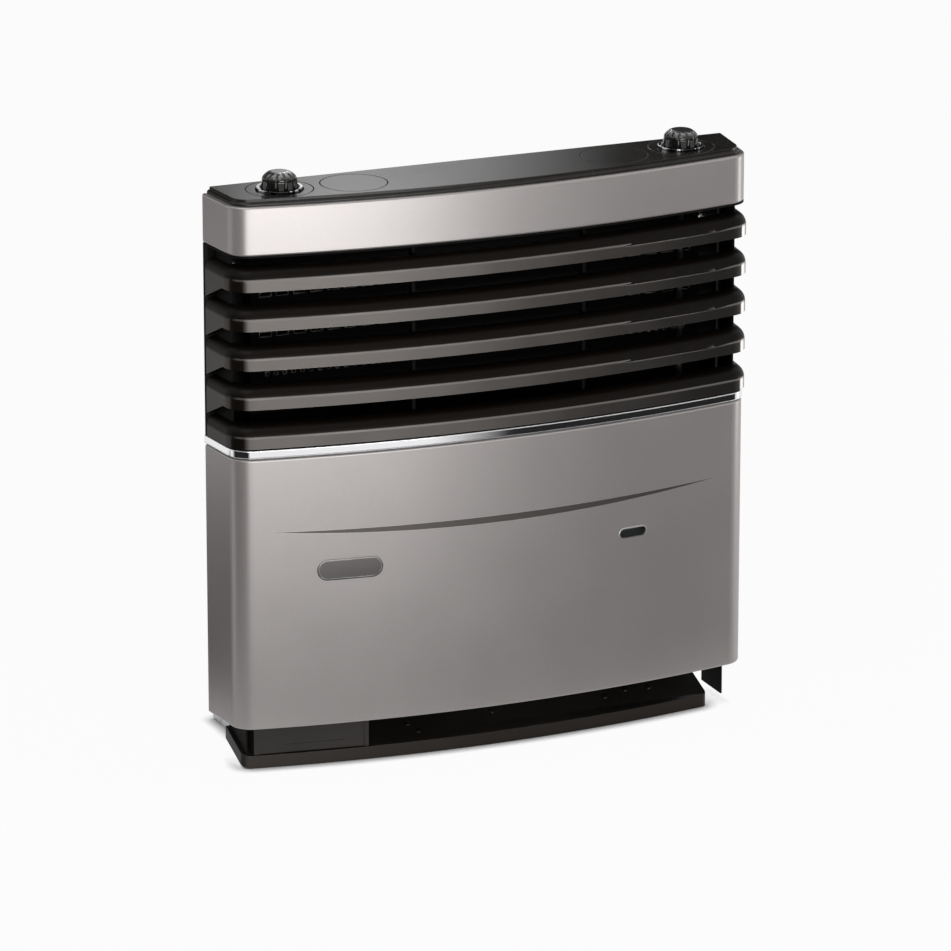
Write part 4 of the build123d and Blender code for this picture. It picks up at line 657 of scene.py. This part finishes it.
# Painted shade: the groove's floor is coloured dark.
groove_shade = calc(casing_tree, "GREATER_THAN", depth, groove_from)
for limit in (calc(casing_tree, "LESS_THAN", depth, groove_floor),
              calc(casing_tree, "COMPARE", panel_at["Z"], groove_height, groove_band),
              calc(casing_tree, "LESS_THAN", calc(casing_tree, "ABSOLUTE", panel_at["X"]), groove_half),
              groove_shade_strength):
    groove_shade = calc(casing_tree, "MULTIPLY", groove_shade, limit)
paint_over(casing_paint, groove_shade, (0.075, 0.068, 0.065))

# Badge plate and window rim: pill-shaped parts pressed to the panel's bow. The plate is
# bare dark satin metal inside a thin bright rim, and the window slot's rim is bright too.


def bow_y(x):
    """Y of the panel's bowed front at the place x."""
    return panel_front + bow_radius - math.sqrt(bow_radius ** 2 - x ** 2)


def pill(length, height, thick, centre, edge, sunk, rim, hollow=False):
    """A pill-shaped plate laid on the bow, with a rounded edge and a recessed middle."""
    bm = bmesh.new()
    bmesh.ops.create_circle(bm, cap_ends=True, segments=48, radius=height / 2)
    half_step = Matrix.Rotation(math.radians(3.75), 3, "Z")
    bmesh.ops.rotate(bm, cent=(0, 0, 0), matrix=half_step, verts=bm.verts)
    for vert in bm.verts:
        vert.co.x += math.copysign((length - height) / 2, vert.co.x)
    back = bm.faces[:]
    raised = bmesh.ops.extrude_face_region(bm, geom=back)
    upper = [item for item in raised["geom"] if isinstance(item, bmesh.types.BMVert)]
    bmesh.ops.translate(bm, vec=(0.0, 0.0, thick), verts=upper)
    soften(bm, list(cap_at(bm, thick).edges), edge, 3)
    sink(bm, cap_at(bm, thick), rim, sunk)
    if hollow:
        bmesh.ops.delete(bm, geom=[cap_at(bm, 0.0), cap_at(bm, thick - sunk)], context="FACES_ONLY")
    strips = 8
    for step in range(1, strips):
        cut_at = ((step / strips - 0.5) * length, 0, 0)
        everything = bm.verts[:] + bm.edges[:] + bm.faces[:]
        bmesh.ops.bisect_plane(bm, geom=everything, plane_co=cut_at, plane_no=(1, 0, 0))
    for vert in bm.verts:
        across, up, out = vert.co
        vert.co = Vector((centre[0] + across, bow_y(centre[0] + across) - out, centre[1] + up))
    return bm


badge_metal = finish("badge_metal", (0.16, 0.152, 0.147), (0.13, 0.123, 0.119), 0.3, metal=0.9,
                     grain=2200.0, bump=0.06, stretch=(0.06, 1.0, 1.0), worn=(0.9, 0.9, 0.9), wear=0.9,
                     width=0.0005, gloss=0.3)
badge = pill(length=0.062, height=0.02, thick=0.0011, centre=(-0.1517, 0.1944), edge=0.0005,
             sunk=0.0005, rim=0.0009)
keep(badge, "badge_plate", badge_metal, "casing")
rim_metal = finish("rim_metal", (0.62, 0.6, 0.585), (0.55, 0.53, 0.52), 0.3, metal=0.8,
                   grain=1800.0, bump=0.04, worn=(0.9, 0.9, 0.9), wear=0.6, width=0.0003)
window_rim = pill(length=0.0304, height=0.0114, thick=0.0005, centre=(sight_x, sight_z), edge=0.0002,
                  sunk=0.001, rim=0.0011, hollow=True)
keep(window_rim, "window_rim", rim_metal, "casing")

# Louvres: rolled steel strips in a darker lacquer on the upright nose. The dark brown satin
# on the slope behind it and on the bend below the nose is painted shade, the nose is painted darker
# towards its right end and on its left side faces as painted shade, and the bent right corners are painted
# highlights.
louvre_paint = finish("louvre_paint", (0.1, 0.092, 0.087), (0.09, 0.083, 0.078), 0.36, metal=0.6,
                      grain=1200.0, bump=0.05, worn=(0.4, 0.385, 0.365), wear=0.4, width=0.0007,
                      gloss=0.07)
louvre_tree = louvre_paint.node_tree
louvre_facing = facing_in(louvre_tree, louvre_tree.nodes.new("ShaderNodeNewGeometry"))
# Painted shade: upward faces and the bend below the nose get a dark brown.
slope_shade = spread(louvre_tree, louvre_facing["Z"], 0.04, 0.2, 0.0, 1.0)
upright_share = calc(louvre_tree, "SUBTRACT", 1.0, slope_shade)
bend_shade = spread(louvre_tree, louvre_facing["Y"], -0.93, -0.84, 0.0, 1.0)
not_side = spread(louvre_tree, louvre_facing["X"], -0.88, -0.96, 1.0, 0.0)
bend_shade = calc(louvre_tree, "MULTIPLY", bend_shade, not_side)
louvre_shade = calc(louvre_tree, "MAXIMUM", slope_shade, bend_shade)
# Painted highlight: the bent right corners get a near white.
corner_highlight = calc(louvre_tree, "MULTIPLY",
                    spread(louvre_tree, louvre_facing["X"], 0.5, 0.6, 0.0, 1.0),
                    spread(louvre_tree, louvre_facing["X"], 0.74, 0.84, 1.0, 0.0))
corner_highlight = calc(louvre_tree, "MULTIPLY", corner_highlight, upright_share)
louvre_along = place_in(louvre_tree)["X"]
# Painted shade: the nose darkens towards its right end, and its left side faces go near black.
right_end_shade = spread(louvre_tree, louvre_along, -0.04, 0.22, 0.0, 0.8)
side_shade = spread(louvre_tree, not_side, 1.0, 0.0, 0.0, 0.35)
paint_over(louvre_paint, right_end_shade, (0.011, 0.0095, 0.008))
paint_over(louvre_paint, side_shade, (0.004, 0.0034, 0.0028))
paint_over(louvre_paint, louvre_shade, (0.0045, 0.0032, 0.0022))
paint_over(louvre_paint, corner_highlight, (0.75, 0.73, 0.71))

# The nose's upper edge carries a thin light line, a painted highlight, which grows towards the right.
louvre_round = louvre_tree.nodes.new("ShaderNodeBevel")
louvre_round.samples = 6
louvre_round.inputs["Radius"].default_value = 0.002
louvre_eased = facing_in(louvre_tree, louvre_round)
edge_line_highlight = spread(louvre_tree, louvre_eased["Z"], 0.05, 0.2, 0.0, 1.0)
for limit in (spread(louvre_tree, louvre_facing["Y"], -0.5, -0.7, 0.0, 1.0),
              spread(louvre_tree, louvre_along, -0.2, 0.16, 0.4, 0.8), upright_share):
    edge_line_highlight = calc(louvre_tree, "MULTIPLY", edge_line_highlight, limit)
paint_over(louvre_paint, edge_line_highlight, (0.6, 0.57, 0.55))
metal_share = spread(louvre_tree, louvre_shade, 0.0, 1.0, 0.6, 0.0)
metal_share = calc(louvre_tree, "MAXIMUM", metal_share, corner_highlight)
louvre_tree.links.new(metal_share, inlet(louvre_paint, "Metallic"))
dress(louvre_paint, *[f"louvre_slat_{number}" for number in range(1, 6)])

# Bright trim and knob rings: polished and chrome-plated, with faint polishing marks. The
# rings are coloured dark in broken patches at the front, as a painted reflection of the dark surroundings.
bright_chrome = finish("bright_chrome", (0.86, 0.86, 0.87), (0.8, 0.8, 0.815), 0.06, metal=1.0,
                       grain=900.0, bump=0.015, stretch=(0.2, 1.0, 1.0), worn=(0.95, 0.95, 0.95),
                       wear=0.3, width=0.0004, round_edge=0.0013)
dress(bright_chrome, "chrome_trim")
ring_chrome = finish("ring_chrome", (0.86, 0.86, 0.87), (0.8, 0.8, 0.815), 0.06, metal=1.0,
                     grain=900.0, bump=0.015, worn=(0.95, 0.95, 0.95), wear=0.3, width=0.0004)
ring_tree = ring_chrome.node_tree
ring_place = ring_tree.nodes.new("ShaderNodeTexCoord")
# Painted reflection: the ring's front is coloured near black in patches.
ring_front_shade = spread(ring_tree, place_in(ring_tree)["Y"], -0.0405, -0.0455, 0.0, 1.0)
ring_patches = noise(ring_tree, ring_place.outputs["Object"], 210.0)
ring_shade_breakup = spread(ring_tree, ring_patches, 0.56, 0.62, 1.0, 0.25)
paint_over(ring_chrome, calc(ring_tree, "MULTIPLY", ring_front_shade, ring_shade_breakup), (0.02, 0.02, 0.02))
dress(ring_chrome, "fan_knob_ring", "gas_knob_ring")

# Top cover, blank caps and knob collars: moulded black plastic with a satin top and a trace
# of dust. The caps and collars are pressed into the cover's round seats.
cover_plastic = finish("cover_plastic", (0.0175, 0.0156, 0.0142), (0.012, 0.0106, 0.0096), 0.24,
                       grain=1700.0, bump=0.08, worn=(0.1, 0.096, 0.092), wear=0.5, width=0.0007,
                       dust=0.006, gloss=0.22, round_edge=0.0008)
dress(cover_plastic, "top_cover", "blanking_cap_left", "blanking_cap_right", "knob_collar_left",
      "knob_collar_right")

# Knobs: glossy black moulded caps with finger flutes round the side. Twelve facets on the
# shoulder run up to a crown that is coloured light and metallic on the facets as a painted highlight.
knob_gloss = finish("knob_gloss", (0.012, 0.0106, 0.0098), (0.007, 0.0062, 0.0056), 0.09,
                    grain=700.0, bump=0.02, worn=(0.06, 0.06, 0.06), wear=0.4, width=0.0006, gloss=0.45)
knob_x, knob_y, knob_facets = 0.2, -0.032592, 12
knob_tree = knob_gloss.node_tree
knob_at = place_in(knob_tree)
knob_out = calc(knob_tree, "SUBTRACT", calc(knob_tree, "ABSOLUTE", knob_at["X"]), knob_x)
knob_turned = calc(knob_tree, "ARCTAN2", calc(knob_tree, "SUBTRACT", knob_at["Y"], knob_y), knob_out)
knob_wave = calc(knob_tree, "SINE", calc(knob_tree, "MULTIPLY", knob_turned, knob_facets / 2))
facet_share = calc(knob_tree, "ABSOLUTE", knob_wave)
knob_band = calc(knob_tree, "MULTIPLY", spread(knob_tree, knob_at["Z"], 0.5575, 0.5595, 0.0, 1.0),
                 spread(knob_tree, knob_at["Z"], 0.5635, 0.5645, 1.0, 0.0))
knob_relief = knob_tree.nodes.new("ShaderNodeBump")
knob_relief.inputs["Strength"].default_value = 0.55
knob_relief.inputs["Distance"].default_value = 0.0012
knob_tree.links.new(calc(knob_tree, "MULTIPLY", facet_share, knob_band), knob_relief.inputs["Height"])
knob_tree.links.new(inlet(knob_gloss, "Normal").links[0].from_socket, knob_relief.inputs["Normal"])
knob_tree.links.new(knob_relief.outputs["Normal"], inlet(knob_gloss, "Normal"))
# Painted highlight: light metallic colour on the crown's facets.
knob_crown_highlight = calc(knob_tree, "MULTIPLY", spread(knob_tree, knob_at["Z"], 0.5605, 0.5635, 0.0, 0.6),
                  spread(knob_tree, facet_share, 0.35, 0.75, 0.12, 1.0))
paint_over(knob_gloss, knob_crown_highlight, (0.5, 0.5, 0.5))
knob_tree.links.new(calc(knob_tree, "MULTIPLY", knob_crown_highlight, 1.4), inlet(knob_gloss, "Metallic"))
dress(knob_gloss, "fan_knob", "gas_knob")

# Studio floor: a plain pale sheet under the heater. It shows as white to the camera; the heater's
# shadow at its foot is mostly a painted shadow, the white darkened by ambient occlusion, and the floor
# throws its light up like matt paper.
floor_reach, floor_sunk, shadow_reach = 6.0, 0.0004, 0.014
floor_bm = bmesh.new()
bmesh.ops.create_grid(floor_bm, x_segments=1, y_segments=1, size=floor_reach)
floor_mesh = bpy.data.meshes.new("studio_floor")
floor_bm.to_mesh(floor_mesh)
floor_bm.free()
floor_mesh.transform(Matrix.Translation((0.0, 0.0, -floor_sunk)))
studio_floor = bpy.data.objects.new("studio_floor", floor_mesh)
bpy.context.scene.collection.objects.link(studio_floor)
floor_paint = bpy.data.materials.new("floor_paint")
floor_paint.use_nodes = True
floor_tree = floor_paint.node_tree
floor_tree.nodes.clear()
floor_out = floor_tree.nodes.new("ShaderNodeOutputMaterial")
floor_matt = floor_tree.nodes.new("ShaderNodeBsdfDiffuse")
floor_matt.inputs["Color"].default_value = (0.82, 0.82, 0.82, 1.0)
floor_white = floor_tree.nodes.new("ShaderNodeEmission")
floor_white.inputs["Color"].default_value = (1.0, 1.0, 1.0, 1.0)
floor_contact = floor_tree.nodes.new("ShaderNodeAmbientOcclusion")
floor_contact.samples = 4
floor_contact.inputs["Distance"].default_value = shadow_reach
# Painted shadow: the white dims close to the heater.
floor_painted_shadow = spread(floor_tree, floor_contact.outputs["AO"], 0.5, 0.98, 0.08, 1.0)
floor_tree.links.new(floor_painted_shadow, floor_white.inputs["Strength"])
floor_mix = floor_tree.nodes.new("ShaderNodeMixShader")


def seen_share(tree):
    """1 for what the camera sees, directly, in a gloss or through glass, and else 0."""
    path = tree.nodes.new("ShaderNodeLightPath")
    direct = calc(tree, "MAXIMUM", path.outputs["Is Camera Ray"], path.outputs["Is Glossy Ray"])
    return calc(tree, "MAXIMUM", direct, path.outputs["Is Transmission Ray"])


floor_seen = calc(floor_tree, "MULTIPLY", seen_share(floor_tree), 0.95)
floor_tree.links.new(floor_seen, floor_mix.inputs["Fac"])
floor_tree.links.new(floor_matt.outputs["BSDF"], floor_mix.inputs[1])
floor_tree.links.new(floor_white.outputs["Emission"], floor_mix.inputs[2])
floor_tree.links.new(floor_mix.outputs["Shader"], floor_out.inputs["Surface"])
floor_mesh.materials.append(floor_paint)

# White surround: the pale room lights the heater softly, and shows as white to the camera
# and in the metal's gloss.
surround = bpy.data.worlds.new("surround")
bpy.context.scene.world = surround
surround.use_nodes = True
sky_tree = surround.node_tree
sky_light = sky_tree.nodes["Background"]
sky_light.inputs["Color"].default_value = (1.0, 0.99, 0.975, 1.0)
sky_light.inputs["Strength"].default_value = 0.32
sky_white = sky_tree.nodes.new("ShaderNodeBackground")
sky_white.inputs["Color"].default_value = (1.0, 1.0, 1.0, 1.0)
sky_white.inputs["Strength"].default_value = 1.0
sky_mix = sky_tree.nodes.new("ShaderNodeMixShader")
sky_tree.links.new(seen_share(sky_tree), sky_mix.inputs["Fac"])
sky_tree.links.new(sky_light.outputs["Background"], sky_mix.inputs[1])
sky_tree.links.new(sky_white.outputs["Background"], sky_mix.inputs[2])
sky_tree.links.new(sky_mix.outputs["Shader"], sky_tree.nodes["World Output"].inputs["Surface"])


# Lamps: one broad soft box in front, one beside the right corner, a small one behind for
# the knobs' edges and one above. None shows to the camera.


def hang_lamp(name, place, aim, width, height, power):
    """A soft area lamp at place that looks at aim and stays out of the camera's view."""
    lamp = bpy.data.lights.new(name, "AREA")
    lamp.shape = "RECTANGLE"
    lamp.size, lamp.size_y = width, height
    lamp.energy = power
    lamp_object = bpy.data.objects.new(name, lamp)
    lamp_object.location = place
    lamp_object.rotation_euler = (Vector(aim) - Vector(place)).to_track_quat("-Z", "Y").to_euler()
    lamp_object.visible_camera = False
    bpy.context.scene.collection.objects.link(lamp_object)


hang_lamp("front_lamp", (-0.4, -1.9, 0.3), (-0.25, 0.0, 0.4), 1.7, 0.45, 22.0)
hang_lamp("corner_lamp", (1.3, -0.17, 0.22), (0.25, -0.06, 0.4), 0.2, 0.42, 1.5)
hang_lamp("rear_lamp", (0.54, 1.67, 1.3), (-0.19, -0.03, 0.56), 0.2, 0.12, 0.7)
hang_lamp("top_lamp", (-0.9, -0.9, 2.6), (0.0, 0.0, 0.4), 1.6, 1.2, 14.0)

# Black flags of the studio: dark cloths with soft edges that only reflections see. They
# give the lacquer, the chrome and the black plastics their dark sides.
flag_cloth = bpy.data.materials.new("flag_cloth")
flag_cloth.use_nodes = True
flag_tree = flag_cloth.node_tree
flag_tree.nodes.clear()
flag_out = flag_tree.nodes.new("ShaderNodeOutputMaterial")
flag_dark = flag_tree.nodes.new("ShaderNodeEmission")
flag_dark.inputs["Color"].default_value = (0.02, 0.02, 0.02, 1.0)
flag_clear = flag_tree.nodes.new("ShaderNodeBsdfTransparent")
flag_mix = flag_tree.nodes.new("ShaderNodeMixShader")
flag_place = flag_tree.nodes.new("ShaderNodeTexCoord")
flag_split = flag_tree.nodes.new("ShaderNodeSeparateXYZ")
flag_tree.links.new(flag_place.outputs["UV"], flag_split.inputs[0])
flag_ends = [flag_split.outputs["X"], flag_split.outputs["Y"]]
flag_ends += [calc(flag_tree, "SUBTRACT", 1.0, end) for end in flag_ends]
flag_edge = calc(flag_tree, "MINIMUM", calc(flag_tree, "MINIMUM", *flag_ends[:2]),
                 calc(flag_tree, "MINIMUM", *flag_ends[2:]))
flag_tree.links.new(spread(flag_tree, flag_edge, 0.0, 0.16, 0.0, 1.0), flag_mix.inputs["Fac"])
flag_tree.links.new(flag_clear.outputs["BSDF"], flag_mix.inputs[1])
flag_tree.links.new(flag_dark.outputs["Emission"], flag_mix.inputs[2])
flag_tree.links.new(flag_mix.outputs["Shader"], flag_out.inputs["Surface"])


def hang_flag(name, near_left, near_right, far_left, far_right):
    """A soft-edged black cloth between four corners, seen only in reflections."""
    bm = bmesh.new()
    bm.loops.layers.uv.new("cloth")
    bmesh.ops.create_grid(bm, x_segments=12, y_segments=12, size=0.5, calc_uvs=True)
    for vert in bm.verts:
        across, along = vert.co.x + 0.5, vert.co.y + 0.5
        near = Vector(near_left).lerp(Vector(near_right), across)
        vert.co = near.lerp(Vector(far_left).lerp(Vector(far_right), across), along)
    mesh = bpy.data.meshes.new(name)
    bm.to_mesh(mesh)
    bm.free()
    mesh.materials.append(flag_cloth)
    cloth = bpy.data.objects.new(name, mesh)
    bpy.context.scene.collection.objects.link(cloth)
    cloth.visible_camera = cloth.visible_diffuse = False
    cloth.visible_shadow = cloth.visible_transmission = False


hang_flag("right_flag", (-0.1, -0.12, 0.002), (0.3, -0.06, 0.002), (1.0, -3.6, 0.002), (4.0, -1.5, 0.002))
hang_flag("near_flag", (-0.45, -0.1, 0.003), (0.5, -0.1, 0.003), (-0.6, -0.75, 0.003), (0.8, -0.75, 0.003))
hang_flag("rear_flag", (-0.3, 0.26, 0.002), (-0.29, -0.02, 0.002),
          (-0.42, 1.05, 0.002), (-1.3, 0.45, 0.002))
hang_flag("far_flag", (-0.6, 1.5, 0.002), (-1.65, 0.75, 0.002), (-1.2, 3.0, 0.002), (-3.8, 1.2, 0.002))
hang_flag("left_flag", (-0.3, 0.02, 0.002), (-0.25, -0.12, 0.002), (-3.2, 0.7, 0.002), (-1.5, -3.6, 0.002))
hang_flag("left_cloth", (-3.0, 0.9, 0.0), (-1.9, -2.9, 0.0), (-3.0, 0.9, 1.6), (-1.9, -2.9, 1.6))
hang_flag("back_flag", (0.38, 0.9, 0.4), (1.5, 0.9, 0.4), (0.38, 0.9, 2.0), (1.5, 0.9, 2.0))
hang_flag("back_left_flag", (-0.9, 0.9, 0.4), (0.2, 0.9, 0.4), (-0.9, 0.9, 2.0), (0.2, 0.9, 2.0))

# Camera: a long lens about six metres away, to the front left of the heater and a little
# above it, as in the photograph.
camera = bpy.data.cameras.new("camera")
camera.lens, camera.sensor_width = 249.8, 36.0
camera_object = bpy.data.objects.new("camera", camera)
bpy.context.scene.collection.objects.link(camera_object)
bpy.context.scene.camera = camera_object
turn, rise, away = math.radians(22.87), math.radians(17.17), 6.18
sight = Vector((math.sin(turn) * math.cos(rise), math.cos(turn) * math.cos(rise), -math.sin(rise)))
camera_object.location = Vector((0.0068, 0.0, 0.2419)) - sight * away
camera_object.rotation_euler = sight.to_track_quat("-Z", "Y").to_euler()
bpy.context.scene.view_settings.view_transform = "Standard"
